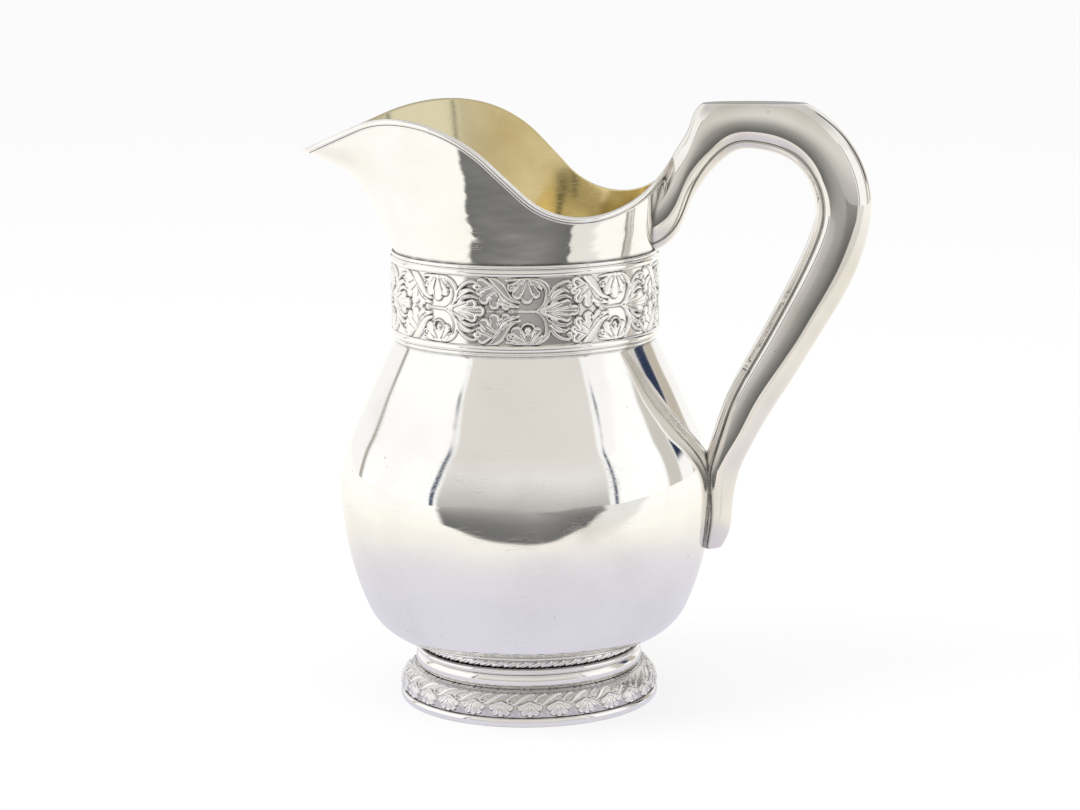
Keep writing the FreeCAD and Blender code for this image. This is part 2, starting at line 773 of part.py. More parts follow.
vent = doc.addObject("Part::Cylinder", "vent_drill")
vent.setExpression("Radius", "dims.vent_radius")
vent.setExpression("Height", "dims.wall * 6")
vent.setExpression("Placement.Base.x", "dims.belly_radius + dims.wall")
vent.setExpression("Placement.Base.z", "dims.belly_height - dims.tail_drop - dims.wall")
handle_back = boolean("Cut", "handle_back", handle_back_whole, vent)


def check_and_write(pieces):
    """Stop on any failed object or piece, then write one file for each piece."""
    doc.recompute()
    for thing in doc.Objects:
        if "Invalid" in thing.State or "Error" in thing.State:
            raise RuntimeError("failed: " + thing.Label)
    os.makedirs("parts", exist_ok=True)
    for piece in pieces:
        shape = piece.Shape
        if shape.isNull() or not shape.isValid() or not shape.Solids:
            raise RuntimeError("bad shape: " + piece.Label)
        box = shape.optimalBoundingBox()
        print("%-22s solids %d  faces %3d  volume %9.1f  x %6.1f %6.1f  z %6.1f %6.1f" % (
            piece.Label, len(shape.Solids), len(shape.Faces), shape.Volume,
            box.XMin, box.XMax, box.ZMin, box.ZMax))
    for piece in pieces:
        piece.Shape.exportStep("parts/%s.step" % piece.Label)


check_and_write(
    [bowl, neck, rim_wire] + band_rings() + [handle_back, inner_strip] + foot_rings())
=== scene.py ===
import bmesh
import bpy
import numpy as np
from mathutils import Matrix, Vector


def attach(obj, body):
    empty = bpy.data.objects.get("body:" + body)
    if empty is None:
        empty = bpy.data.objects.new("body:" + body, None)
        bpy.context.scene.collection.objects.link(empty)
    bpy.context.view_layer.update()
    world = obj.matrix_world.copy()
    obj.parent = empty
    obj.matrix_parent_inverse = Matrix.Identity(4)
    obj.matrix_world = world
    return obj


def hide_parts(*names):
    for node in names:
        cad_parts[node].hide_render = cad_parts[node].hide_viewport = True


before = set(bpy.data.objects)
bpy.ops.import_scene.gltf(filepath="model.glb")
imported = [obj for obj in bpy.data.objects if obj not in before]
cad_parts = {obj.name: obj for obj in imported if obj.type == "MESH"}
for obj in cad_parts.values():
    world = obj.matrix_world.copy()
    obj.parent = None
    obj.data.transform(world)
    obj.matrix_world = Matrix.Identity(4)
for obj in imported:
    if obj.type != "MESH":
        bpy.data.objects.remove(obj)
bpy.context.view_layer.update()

# A polished silver jug with a gilt inside. Shapes are worked out in millimetres, and
# make_piece turns them into metres. The spout points to -X and the handle to +X.
MM = 0.001
FULL_TURN = 2 * np.pi

# sheet and bowl
WALL = 1.2
BOWL_BOTTOM = 22.5
BELLY_RADIUS = 66.4
BELLY_HEIGHT = 77.0
SHOULDER_CURVE = 53.0
FLANK_CURVE = 105.0
KNUCKLE_CURVE = 21.0
BOTTOM_POINTS = 12
NECK_RADIUS = 46.3
# band, mouldings and seam, by height, and the band's radii
BAND_LOW = 135.3
BAND_HIGH = 158.7
BAND_GROUND = 46.72
BAND_RELIEF = 0.88
BAND_BACK = 46.1
BEAD = 2.6
REED = 1.3
SEAM = 160.0
NECK_FOOT = 162.6
# lip
LIP_CREST = (-36.5, 211.3)
LIP_FRONT_CURVE = 46.0
LIP_FRONT_WAY = np.radians(24.0)
LIP_CREST_CURVE = 48.0
LIP_VALLEY_CENTRE = (27.5, 205.5)
LIP_VALLEY_CURVE = 27.0
LIP_BACK_WAY = np.radians(-25.0)
LIP_LOWEST = 150.0
LIP_HIGHEST = 218.0
# neck and beak
NECK_FLARE = 9.3
NECK_FLARE_POWER = 1.2
BEAK_LEAN = 0.4
BEAK_REACH = 15.5
BEAK_START = 23.4
BEAK_RUN = 15.0
BEAK_WIDTH = np.radians(14.0)
BEAK_ROUND = 0.35
BEAK_FALL = 1.3
# how far a half-round wire bulges, as a share of its width
HALF_ROUND = 0.42


# Meshes

def grid_faces(rows, columns, rows_close, columns_close):
    """Four corner numbers for every cell of a grid of points that is stored row by row."""
    row = np.arange(rows if rows_close else rows - 1)[:, None]
    column = np.arange(columns if columns_close else columns - 1)[None, :]
    below = (row + 1) % rows
    beside = (column + 1) % columns
    corners = [row * columns + column, row * columns + beside,
               below * columns + beside, below * columns + column]
    return np.stack(np.broadcast_arrays(*corners), axis=-1).reshape(-1, 4)


def new_mesh(name, corners, faces):
    """A mesh of four-cornered faces."""
    mesh = bpy.data.meshes.new(name)
    mesh.vertices.add(len(corners))
    mesh.vertices.foreach_set("co", corners.ravel())
    mesh.loops.add(faces.size)
    mesh.loops.foreach_set("vertex_index", faces.ravel().astype(np.int32))
    mesh.polygons.add(len(faces))
    mesh.polygons.foreach_set("loop_start", np.arange(0, faces.size, 4, dtype=np.int32))
    mesh.update(calc_edges=True)
    return mesh


def put_in_scene(name, data):
    """A new object for a mesh, a lamp or a camera, linked to the scene."""
    item = bpy.data.objects.new(name, data)
    bpy.context.scene.collection.objects.link(item)
    return item


def make_piece(name, points, nodes, finishes, hollow, rows_close=True,
               second_finish_from=None, poles=False):
    """A closed skin over a grid of points whose columns run all the way round, with a hollow mark
    for each point. The faces are turned outwards by the sign of the volume that they enclose."""
    rows, columns = points.shape[:2]
    corners = points.reshape(-1, 3) * MM
    faces = grid_faces(rows, columns, rows_close, True)
    a, b, c, d = (corners[faces[:, k]] for k in range(4))
    if np.sum(a * np.cross(b, c)) + np.sum(a * np.cross(c, d)) < 0:
        faces = faces[:, ::-1]
    mesh = new_mesh("dressed_" + name, corners, faces)
    mesh.polygons.foreach_set("use_smooth", np.ones(len(faces), dtype=bool))
    if second_finish_from is not None:
        index = np.arange(len(faces)) // columns >= second_finish_from
        mesh.polygons.foreach_set("material_index", index.astype(np.int32))
    mark = mesh.attributes.new("hollow", "FLOAT", "POINT")
    mark.data.foreach_set("value", hollow.ravel().astype(np.float32))
    if poles:
        edit = bmesh.new()
        edit.from_mesh(mesh)
        bmesh.ops.remove_doubles(edit, verts=edit.verts, dist=1e-7)
        edit.to_mesh(mesh)
        edit.free()
    for finish in finishes:
        mesh.materials.append(finish)
    piece = put_in_scene("dressed_" + name, mesh)
    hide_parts(*nodes)
    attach(piece, "root")


# Curves and profiles

def smooth_step(value):
    """Zero below 0, one above 1, and three squares less two cubes between."""
    value = np.clip(value, 0.0, 1.0)
    return value * value * (3 - 2 * value)


def smooth_through(places, values, at):
    """A natural cubic spline through rows of values at given places: the bends solve the usual
    three-term equations and are zero at both ends."""
    places = np.asarray(places, float)
    values = np.asarray(values, float)
    step = np.diff(places)
    slope = np.diff(values, axis=0) / step[:, None]
    count = len(places)
    system = np.eye(count)
    inner = np.arange(1, count - 1)
    system[inner, inner - 1] = step[:-1]
    system[inner, inner] = 2 * (step[:-1] + step[1:])
    system[inner, inner + 1] = step[1:]
    wanted = np.zeros_like(values)
    wanted[1:-1] = 6 * np.diff(slope, axis=0)
    bend = np.linalg.solve(system, wanted)
    cell = np.clip(np.searchsorted(places, at) - 1, 0, count - 2)
    run = (at - places[cell])[:, None]
    rest = (places[cell + 1] - at)[:, None]
    width = step[cell][:, None]
    straight = (values[cell] * rest + values[cell + 1] * run) / width
    early = bend[cell] * (rest ** 3 / width - rest * width) / 6
    late = bend[cell + 1] * (run ** 3 / width - run * width) / 6
    return straight + early + late


def arc_run(centre, radius, start, end, count):
    """Points of a circle's arc in the plane of a profile, from one angle to another in degrees."""
    turn = np.radians(np.linspace(start, end, count))
    return np.stack([centre[0] + radius * np.cos(turn), centre[1] + radius * np.sin(turn)], axis=1)


def bulged_run(start, end, bulge, count):
    """An arc between two points whose middle stands a bulge to the right of the straight way."""
    start = np.asarray(start, float)
    end = np.asarray(end, float)
    half = (end - start) / 2
    length = np.hypot(half[0], half[1])
    right = np.array([half[1], -half[0]]) / length
    radius = (length ** 2 + bulge ** 2) / (2 * bulge)
    turn = np.linspace(-1, 1, count)[:, None] * np.arctan2(length, radius - bulge)
    middle = (start + end) / 2 + right * (bulge - radius)
    return middle + radius * (right * np.cos(turn) + half / length * np.sin(turn))


def edged(profile, margin):
    """A closed profile with a point a small margin from both ends of each side, so that its
    corners stay crisp under smooth shading."""
    following = np.roll(profile, -1, axis=0)
    side = following - profile
    length = np.maximum(np.hypot(side[:, 0], side[:, 1]), 1e-6)[:, None]
    share = np.minimum(margin / length, 1 / 3)
    tripled = np.stack([profile, profile + side * share, following - side * share], axis=1)
    return tripled.reshape(-1, 2)


def round_axis(radius, turn, height):
    """Points from a radius, a turn round the jug's axis and a height."""
    points = np.broadcast_arrays(radius * np.cos(turn), radius * np.sin(turn), height)
    return np.stack(points, axis=-1)


def turned(profile, columns):
    """A profile of radius and height carried once round the jug's axis."""
    turn = np.arange(columns) * FULL_TURN / columns
    return round_axis(profile[:, :1], turn, profile[:, 1:])


def lengths_along(run):
    """The length of the way to each point of a run."""
    return np.concatenate([[0], np.cumsum(np.hypot(*np.diff(run, axis=0).T))])


def left_of(run):
    """Unit normals on the left of a run of points, from its central differences."""
    way = np.gradient(run, axis=0)
    way /= np.maximum(np.hypot(way[:, 0], way[:, 1]), 1e-9)[:, None]
    return np.stack([-way[:, 1], way[:, 0]], axis=1)


# Bowl

def bowl_profile():
    """Flat bottom, knuckle arc, flank arc, shoulder arc, a tangent line and the upright neck."""
    flank = np.array([BELLY_RADIUS - FLANK_CURVE, BELLY_HEIGHT])
    shoulder = np.array([BELLY_RADIUS - SHOULDER_CURVE, BELLY_HEIGHT])
    drop = BOWL_BOTTOM + KNUCKLE_CURVE - BELLY_HEIGHT
    reach = FLANK_CURVE - KNUCKLE_CURVE
    knuckle = flank + np.array([np.sqrt(reach ** 2 - drop ** 2), drop])
    low_angle = np.degrees(np.arcsin(drop / reach))
    corner = np.array([NECK_RADIUS, BAND_LOW - BEAD - REED])
    across = corner - shoulder
    lean = np.arccos(SHOULDER_CURVE / np.hypot(across[0], across[1]))
    high_angle = np.degrees(np.arctan2(across[1], across[0]) - lean)
    touch = shoulder + SHOULDER_CURVE * np.array([np.cos(np.radians(high_angle)),
                                                  np.sin(np.radians(high_angle))])
    return np.concatenate([
        np.linspace((0.0, BOWL_BOTTOM), (knuckle[0], BOWL_BOTTOM), BOTTOM_POINTS)[:-1],
        arc_run(knuckle, KNUCKLE_CURVE, -90, low_angle, 34)[:-1],
        arc_run(flank, FLANK_CURVE, low_angle, 0, 50)[:-1],
        arc_run(shoulder, SHOULDER_CURVE, 0, high_angle, 30)[:-1],
        np.linspace(touch, corner, 30)[:-1],
        np.linspace(corner, (NECK_RADIUS, SEAM), 14)])


def bowl_radius(height):
    """The bowl's outer radius at a height, read off its profile."""
    profile = bowl_profile()[BOTTOM_POINTS:]
    return np.interp(height, profile[:, 1], profile[:, 0])


def make_bowl(finishes):
    """The bowl's profile and the same profile moved in by the wall, turned round the axis."""
    outer = bowl_profile()
    inner = outer + left_of(outer) * WALL
    inner[0, 0] = 0.0
    inner[:, 0] = np.maximum(inner[:, 0], 0.0)
    inner[-1, 1] = SEAM
    profile = np.concatenate([outer, inner[::-1]])
    points = turned(profile, 288)
    low = np.exp(-(np.maximum(points[..., 2] - BOWL_BOTTOM, 0) / 0.5) ** 2)
    high = np.exp(-(np.minimum(points[..., 2] - BAND_LOW + BEAD + REED, 0) / 0.5) ** 2)
    make_piece("belly_bowl", points, ["belly_bowl"], finishes,
               0.7 * np.maximum(low, high), rows_close=False,
               second_finish_from=len(outer) - 1, poles=True)


# Neck, spout and rim

def neck_radius_at(turn, height):
    """A round neck that flares with a power of its rise, plus a beak whose section falls off as
    a rounded peak on both sides of the spout."""
    rise = np.maximum(0.0, height - NECK_FOOT)
    flare = (rise / (LIP_CREST[1] - NECK_FOOT)) ** NECK_FLARE_POWER
    beak = BEAK_LEAN * rise + BEAK_REACH * smooth_step((rise - BEAK_START) / BEAK_RUN)
    away = np.hypot(turn / BEAK_WIDTH, BEAK_ROUND) ** BEAK_FALL - BEAK_ROUND ** BEAK_FALL
    return NECK_RADIUS + flare * NECK_FLARE + beak * np.exp(-away)


def neck_point(turn, height, offset):
    """A point of the neck moved out level along its section's normal, by more where the wall
    leans. The turn is measured from the spout."""
    step = 1e-3
    radius = neck_radius_at(turn, height)
    along = (neck_radius_at(turn + step, height) - neck_radius_at(turn - step, height)) / (2 * step)
    lean = (neck_radius_at(turn, height + step) - neck_radius_at(turn, height - step)) / (2 * step)
    lean = lean / np.hypot(1.0, along / radius)
    size = np.hypot(radius, along)
    move = offset * np.hypot(1.0, lean)
    out = radius + move * radius / size
    forward = -move * along / size
    x = -np.cos(turn) * out + np.sin(turn) * forward
    y = np.sin(turn) * out + np.cos(turn) * forward
    return np.stack(np.broadcast_arrays(x, y, height), axis=-1)


def lip_height(x, lower):
    """The lip's side outline, lowered along its normal: straight front, front arc, crest arc,
    straight fall on the inner tangent of two circles, valley arc and straight rise."""
    front = LIP_FRONT_CURVE - lower
    crest = LIP_CREST_CURVE - lower
    valley = LIP_VALLEY_CURVE + lower
    crest_z = LIP_CREST[1] - LIP_CREST_CURVE
    over = LIP_VALLEY_CENTRE[0] - LIP_CREST[0]
    up = LIP_VALLEY_CENTRE[1] - crest_z
    lean = np.arccos((LIP_CREST_CURVE + LIP_VALLEY_CURVE) / np.hypot(over, up))
    fall = np.arctan2(up, over) + lean
    front_start = LIP_CREST[0] - front * np.sin(LIP_FRONT_WAY)
    front_z = LIP_CREST[1] - LIP_FRONT_CURVE + front * np.cos(LIP_FRONT_WAY)
    on_straight = front_z + (x - front_start) * np.tan(LIP_FRONT_WAY)
    fall_start = LIP_CREST[0] + crest * np.cos(fall)
    fall_end = LIP_VALLEY_CENTRE[0] - valley * np.cos(fall)
    valley_end = LIP_VALLEY_CENTRE[0] + valley * np.cos(LIP_BACK_WAY)
    from_crest = x - LIP_CREST[0]
    from_valley = x - LIP_VALLEY_CENTRE[0]
    front_centre = LIP_CREST[1] - LIP_FRONT_CURVE
    on_front = front_centre + np.sqrt(np.maximum(front ** 2 - from_crest ** 2, 0))
    on_crest = crest_z + np.sqrt(np.maximum(crest ** 2 - from_crest ** 2, 0))
    on_fall = crest_z + crest * np.sin(fall) - (x - fall_start) / np.tan(fall)
    on_valley = LIP_VALLEY_CENTRE[1] - np.sqrt(np.maximum(valley ** 2 - from_valley ** 2, 0))
    end_z = LIP_VALLEY_CENTRE[1] + valley * np.sin(LIP_BACK_WAY)
    on_rise = end_z + (x - valley_end) / np.tan(-LIP_BACK_WAY)
    return np.select(
        [x < front_start, from_crest < 0, x < fall_start, x < fall_end, x < valley_end],
        [on_straight, on_front, on_crest, on_fall, on_valley], on_rise)


def lip_point(turn, lower, offset):
    """Where the neck, moved out by an offset, meets the lip's outline, lowered by a distance:
    the height is halved down between bounds until it lies on the outline."""
    shape = np.broadcast(turn, lower, offset).shape
    low = np.full(shape, LIP_LOWEST)
    high = np.full(shape, LIP_HIGHEST)
    for _ in range(42):
        middle = (low + high) / 2
        under = middle < lip_height(neck_point(turn, middle, offset)[..., 0], lower)
        low = np.where(under, middle, low)
        high = np.where(under, high, middle)
    return neck_point(turn, low, offset)


def neck_turns(columns):
    """Turns from the back of the neck round to the back again, closer together at the spout."""
    share = np.linspace(-np.pi, np.pi, columns, endpoint=False)
    return share - 0.5 * np.sin(share)


def make_neck(finishes):
    """The neck's outside up to the lip, a rounded lip edge, and the inside a wall further in."""
    turn = neck_turns(480)[None, :]
    outer_lip = lip_point(turn, 0.0, 0.0)
    inner_lip = lip_point(turn, 0.0, -WALL)
    share = np.linspace(0, 1, 84)[:, None]
    outer = neck_point(turn, SEAM + (outer_lip[..., 2] - SEAM) * share, 0.0)
    inner = neck_point(turn, SEAM + (inner_lip[..., 2] - SEAM) * share[::-1], -WALL)
    crown = (outer_lip + inner_lip) / 2
    crown[..., 2] += 0.25
    points = np.concatenate([outer, crown, inner])
    above_foot = np.maximum(points[..., 2] - NECK_FOOT - 0.3, 0)
    hollow = 0.85 * np.exp(-(above_foot / 0.45) ** 2)
    make_piece("neck_spout", points, ["neck_spout"], finishes, hollow,
               second_finish_from=len(outer))


def make_rim_wire(finish):
    """A reeded wire under the lip: a round bead over a fine thread, carried round the lip as a
    section of distance below the lip and distance out from the neck."""
    section = np.concatenate([
        [(0.0, -0.5), (-0.02, 0.1)],
        bulged_run((0.0, 0.35), (1.72, 0.3), -0.78, 14),
        bulged_run((1.78, 0.22), (2.4, 0.2), -0.3, 7),
        [(2.42, -0.1), (2.4, -0.5)]])
    turn = neck_turns(640)[None, :]
    points = lip_point(turn, section[:, :1], section[:, 1:])
    dip = 0.6 * np.exp(-((section[:, 0] - 1.75) / 0.14) ** 2)
    hollow = np.broadcast_to(dip[:, None], points.shape[:2])
    make_piece("rim_wire", points, ["rim_wire"], [finish], hollow)


# Carved relief

def rods_along(path, radii, count=14):
    """Round-ended tapering rods along a smooth curve through the points of a path."""
    path = np.asarray(path, float)
    places = lengths_along(path)
    at = np.linspace(0, places[-1], count + 1)
    curve = smooth_through(places, path, at)
    radius = np.interp(at, np.linspace(0, places[-1], len(radii)), radii)
    return np.column_stack([curve[:-1], curve[1:], radius[:-1], radius[1:]])


def depth_inside(u, v, rods, pitch):
    """How far points of a repeating strip lie inside a union of rods: the largest, over the
    rods, of the radius at the nearest place along the rod less the distance to that place."""
    best = np.full(u.shape, -9.0)
    for x0, y0, x1, y1, r0, r1 in rods:
        centre = (x0 + x1) / 2
        near = (u - centre + pitch / 2) % pitch - pitch / 2 + centre
        dx, dy = x1 - x0, y1 - y0
        share = np.clip(((near - x0) * dx + (v - y0) * dy) / (dx * dx + dy * dy + 1e-9), 0, 1)
        gap = np.hypot(near - x0 - share * dx, v - y0 - share * dy)
        best = np.maximum(best, r0 + (r1 - r0) * share - gap)
    return best


def raised(depth, height, edge=0.42, dish=0.3):
    """A leaf's height over its ground: a steep rounded edge, a raised rim just inside it and a
    dished middle that climbs gently again further in."""
    wall = smooth_step((depth + 0.08) / edge)
    rim = np.exp(-((depth - 0.5) / 0.3) ** 2)
    middle = 1 - np.exp(-np.maximum(depth, 0) / 1.6)
    return height * wall * (1 - dish + dish * rim + 0.16 * middle)


def blurred(height, reach_u, reach_v):
    """The mean over a small window: sums of shifted copies, wrapped along the strip."""
    wide = 2 * reach_u + 1
    tall = 2 * reach_v + 1
    total = sum(np.roll(height, k - reach_u, axis=1) for k in range(wide)) / wide
    padded = np.pad(total, ((reach_v, reach_v), (0, 0)), mode="edge")
    return sum(padded[k:k + len(height)] for k in range(tall)) / tall


def cut_in(height, groove, depth, width):
    """How much a bell-shaped groove takes off a raised surface, and nothing off its ground."""
    return depth * np.exp(-(groove / width) ** 2) * smooth_step(height / 0.3)


def flipped(rods):
    """Rods mirrored across the middle line of the band."""
    return np.asarray(rods) * np.array([1, -1, 1, -1, 1, 1])


def spokes(x, y, radius, ends):
    """Rods from one hinge to several ends, which come with their own radii."""
    return np.array([(x, y, end_x, end_y, radius, end) for end_x, end_y, end in ends])


def grooves(lines):
    """Rods without thickness, for lines that are cut in."""
    return np.pad(np.asarray(lines, float), ((0, 0), (0, 2)))


def curl(x, y, size, start):
    """A groove along four fifths of a circle, which draws a curled leaf tip."""
    turn = np.radians(start + np.linspace(0, 290, 7))
    circle = np.stack([x + size * np.cos(turn), y + size * np.sin(turn)], axis=1)
    return rods_along(circle, [0.0, 0.0], 9)


# Band

BAND_REPEATS = 9
BAND_FACE = 47.4
BAND_PITCH = BAND_FACE * FULL_TURN / BAND_REPEATS
BAND_CUSP = np.radians(-115.6)
BAND_HALF = (BAND_HIGH - BAND_LOW) / 2
EYE_RADIUS = 1.25


def foliage(u, v):
    """Heights of one repeat of the band: brackets that spring from a cusp, a fan over it,
    scrolled stems, two lobed leaves and a fan at each edge, laid over each other by their
    greatest height, with veins cut in as narrow bell-shaped grooves."""
    bracket = rods_along([(-0.6, 0.0), (1.6, 1.2), (2.9, 3.0), (3.5, 5.0), (3.5, 7.0), (2.7, 8.8),
                          (1.0, 10.2), (-2.0, 10.9), (-6.0, 11.0), (-10.5, 10.6)],
                         [0.5, 1.0, 1.15, 1.0, 0.8, 0.6, 0.45], 24)
    stem = rods_along([(4.3, 5.2), (5.2, 7.0), (7.2, 8.9), (9.6, 9.9), (11.3, 9.8), (12.1, 8.9),
                       (11.6, 8.1)], [0.7, 0.7, 0.65, 0.55], 16)
    sepal = rods_along([(3.9, 3.2), (5.4, 5.2), (7.4, 6.6), (9.6, 7.0), (11.2, 6.3)],
                       [0.5, 1.1, 1.15, 0.8, 0.3], 12)
    tongue = rods_along([(4.6, 2.6), (7.0, 4.4), (9.6, 5.0), (12.0, 4.2)],
                        [0.4, 0.85, 0.8, 0.3], 10)
    scroll = [(11.4, 8.25, 11.4, 8.3, 1.05, 1.05)]
    leaf = np.concatenate([
        rods_along([(13.8, 9.6), (16.4, 7.3), (19.0, 4.7), (22.6, 2.5)], [1.9, 2.4, 2.1, 1.2], 8),
        [(14.6, 8.2, 12.9, 6.6, 1.4, 1.5), (16.2, 6.4, 14.6, 4.1, 1.7, 1.95),
         (18.6, 4.8, 18.2, 2.5, 1.9, 2.0), (21.4, 3.4, 22.2, 1.75, 1.5, 1.45),
         (23.4, 2.4, 26.2, 1.7, 1.1, 0.6)]])
    flank = rods_along([(17.2, 11.2), (20.2, 8.6), (22.4, 5.6), (24.4, 3.9), (26.6, 3.3)],
                       [1.2, 1.7, 1.5, 1.0, 0.6], 10)
    middle_stem = rods_along([(24.6, 0.0), (29.0, 0.0), (33.0, 0.0)], [0.35, 0.5, 0.55], 6)
    fan = spokes(1.2, 0.0, 0.7, [(6.4, 1.9, 1.65), (10.2, 2.3, 1.85), (12.9, 0.0, 2.05),
                                 (10.2, -2.3, 1.85), (6.4, -1.9, 1.65)])
    upper_fan = np.concatenate([
        spokes(29.4, 10.6, 1.4, [(26.2, 6.0, 2.0), (29.5, 4.7, 2.2), (32.5, 6.0, 1.7)]),
        [(27.0, 10.3, 24.0, 8.2, 0.8, 1.5), (32.0, 10.2, 34.2, 8.0, 0.8, 0.8)]])
    lower_fan = np.concatenate([
        spokes(29.8, -10.8, 1.3, [(25.8, -6.8, 2.0), (32.9, -6.9, 1.7)]),
        [(29.8, -10.8, 29.7, -8.6, 1.6, 1.6), (26.8, -10.6, 23.6, -8.8, 0.8, 1.5),
         (32.6, -10.4, 34.4, -8.6, 0.8, 0.8)]])
    eye = [(29.7, -6.5, 29.7, -6.51, EYE_RADIUS, EYE_RADIUS)]
    eye_ring = rods_along([(27.2, -6.9), (27.8, -5.0), (29.7, -4.1), (31.6, -5.0), (32.2, -6.9)],
                          [0.45, 0.5, 0.45], 10)
    rib = rods_along([(15.4, 11.2), (17.7, 8.6), (19.6, 5.6), (21.3, 3.3), (23.4, 2.2)],
                     [0.0, 0.0], 12)
    veins = np.concatenate([rib, grooves([(17.2, 8.6, 13.6, 7.2), (18.4, 7.0, 15.6, 4.9),
                                          (19.8, 5.2, 19.2, 3.4), (21.4, 3.2, 23.6, 2.7)])])
    fan_cuts = grooves([(3.0, 0.5, 8.2, 2.6), (3.0, 0.2, 11.4, 1.3), (3.0, -0.2, 11.4, -1.3),
                        (3.0, -0.5, 8.2, -2.6)])
    upper_cuts = grooves([(29.0, 10.2, 27.7, 6.4), (30.2, 10.2, 31.5, 6.4), (28.6, 10.4, 24.6, 8.0)])
    lower_cuts = grooves([(29.0, -10.4, 27.4, -7.6), (30.6, -10.4, 32.0, -7.6),
                          (28.4, -10.8, 24.4, -8.4)])
    curls = np.concatenate([curl(24.2, 8.1, 0.8, 60), curl(34.0, 8.0, 0.6, 200),
                            curl(23.8, -8.7, 0.8, 10), curl(34.2, -8.5, 0.6, 250)])
    stem_curl = curl(11.4, 8.25, 0.62, 100)

    mirrored = ((bracket, 0.72), (middle_stem, 0.6), (tongue, 0.66), (sepal, 0.76), (stem, 0.86),
                (scroll, 0.95), (flank, 0.72), (leaf, 0.9))
    single = ((upper_fan, 0.88), (lower_fan, 0.84), (fan, 0.95), (eye_ring, 0.95))
    height = np.zeros(u.shape)
    for rods, level in mirrored + tuple((flipped(rods), level) for rods, level in mirrored) + single:
        height = np.maximum(height, raised(depth_inside(u, v, rods, BAND_PITCH), level))
    ball = depth_inside(u, v, eye, BAND_PITCH)
    height = np.maximum(height, np.sqrt(np.clip(ball / EYE_RADIUS, 0, 1)))
    for rods, depth in ((veins, 0.34), (flipped(veins), 0.34), (fan_cuts, 0.3), (upper_cuts, 0.3),
                        (lower_cuts, 0.3), (curls, 0.4), (stem_curl, 0.45),
                        (flipped(stem_curl), 0.45)):
        height -= cut_in(height, depth_inside(u, v, rods, BAND_PITCH), depth, 0.24)
    return np.maximum(height, 0.0)


def make_band(finish):
    """The foliage strip in two rings that meet on its middle line. The radius is the ground's
    plus the relief, and the hollow mark is high where a point lies below its surroundings."""
    per_repeat = 178
    half_rows = 59
    columns = BAND_REPEATS * per_repeat
    u_one = np.arange(per_repeat) * BAND_PITCH / per_repeat
    v_all = np.linspace(-BAND_HALF, BAND_HALF, 2 * half_rows + 1)
    u, v = np.meshgrid(u_one, v_all)
    height = foliage(u, v) * smooth_step((BAND_HALF - np.abs(v)) / 0.35)
    sunk = blurred(blurred(height, 2, 2), 2, 2) - height
    hollow = np.tile(np.clip((sunk - 0.05) / 0.16, 0, 1), BAND_REPEATS)
    radius = np.tile(BAND_GROUND + BAND_RELIEF * height, BAND_REPEATS)
    turn = BAND_CUSP + np.arange(columns) * FULL_TURN / columns
    for name, keep in (("neck_band_lower", slice(0, half_rows + 1)),
                       ("neck_band_upper", slice(half_rows, 2 * half_rows + 1))):
        levels = v_all[keep] + (BAND_LOW + BAND_HIGH) / 2
        reach = np.concatenate([radius[keep], np.full((2, columns), BAND_BACK)])
        level = np.concatenate([levels, levels[[-1, 0]]])[:, None]
        mark = np.concatenate([hollow[keep], np.zeros((2, columns))])
        points = round_axis(reach, turn, level)
        make_piece(name, points, ["neck_band"], [finish], mark)


def turn_ring(name, profile, sunk, finish):
    """A plain ring: a profile turned round the axis, with a hollow mark for each of its points."""
    points = turned(profile, 384)
    hollow = np.broadcast_to(sunk[:, None], points.shape[:2])
    make_piece(name, points, [name], [finish], hollow)


def make_mouldings(finish):
    """A half-round bead beside a small reed, above and below the band, turned round the axis."""
    web = NECK_RADIUS + 0.3
    back = NECK_RADIUS - 0.2
    top = BAND_HIGH + BEAD + REED
    bottom = BAND_LOW - BEAD - REED
    upper = np.concatenate([
        bulged_run((web, BAND_HIGH), (web, BAND_HIGH + BEAD), BEAD * HALF_ROUND, 18),
        bulged_run((web, BAND_HIGH + BEAD), (web, top), REED * HALF_ROUND, 12),
        [(back, top), (back, BAND_HIGH)]])
    lower = np.concatenate([
        bulged_run((web, bottom), (web, BAND_LOW - BEAD), REED * HALF_ROUND, 12),
        bulged_run((web, BAND_LOW - BEAD), (web, BAND_LOW), BEAD * HALF_ROUND, 18),
        [(back, BAND_LOW), (back, bottom)]])
    for name, profile in (("band_upper_moulding", upper), ("band_lower_moulding", lower)):
        profile = edged(profile, 0.06)
        sunk = np.clip(1 - (profile[:, 0] - web) / 0.22, 0, 1)
        turn_ring(name, profile, sunk, finish)


# Foot, with its rings by height and by radius

BASE_TOP = 3.2
BORDER_TOP = 12.2
COLLAR_TOP = 17.1
TOP_RING_TOP = 19.4
BASE_OUTSIDE = 46.5
BASE_LEDGE = 44.0
BASE_BULGE = 0.25 * BASE_TOP
BORDER_LOW_EDGE = 45.75
BORDER_HIGH_EDGE = 41.2
BORDER_BULGE = 1.75
BORDER_INSIDE = 38.7
COLLAR_INSIDE = 38.6
COLLAR_OUTSIDE = 40.8
TOP_RING_OUTSIDE = 40.6
TOP_RING_INSIDE = 36.3
LEAF_OUTSIDE = 39.7
LEAF_INSIDE = 36.4
LEAF_BULGE = 0.3 * (BOWL_BOTTOM - TOP_RING_TOP)
# carving: where it starts, the number of repeats and the radius that they are spaced on
CARVING_START = np.radians(-80.5)
SPRIGS = 56
SPRIG_FACE = 39.5
FANS = 28
FAN_FACE = 44.0


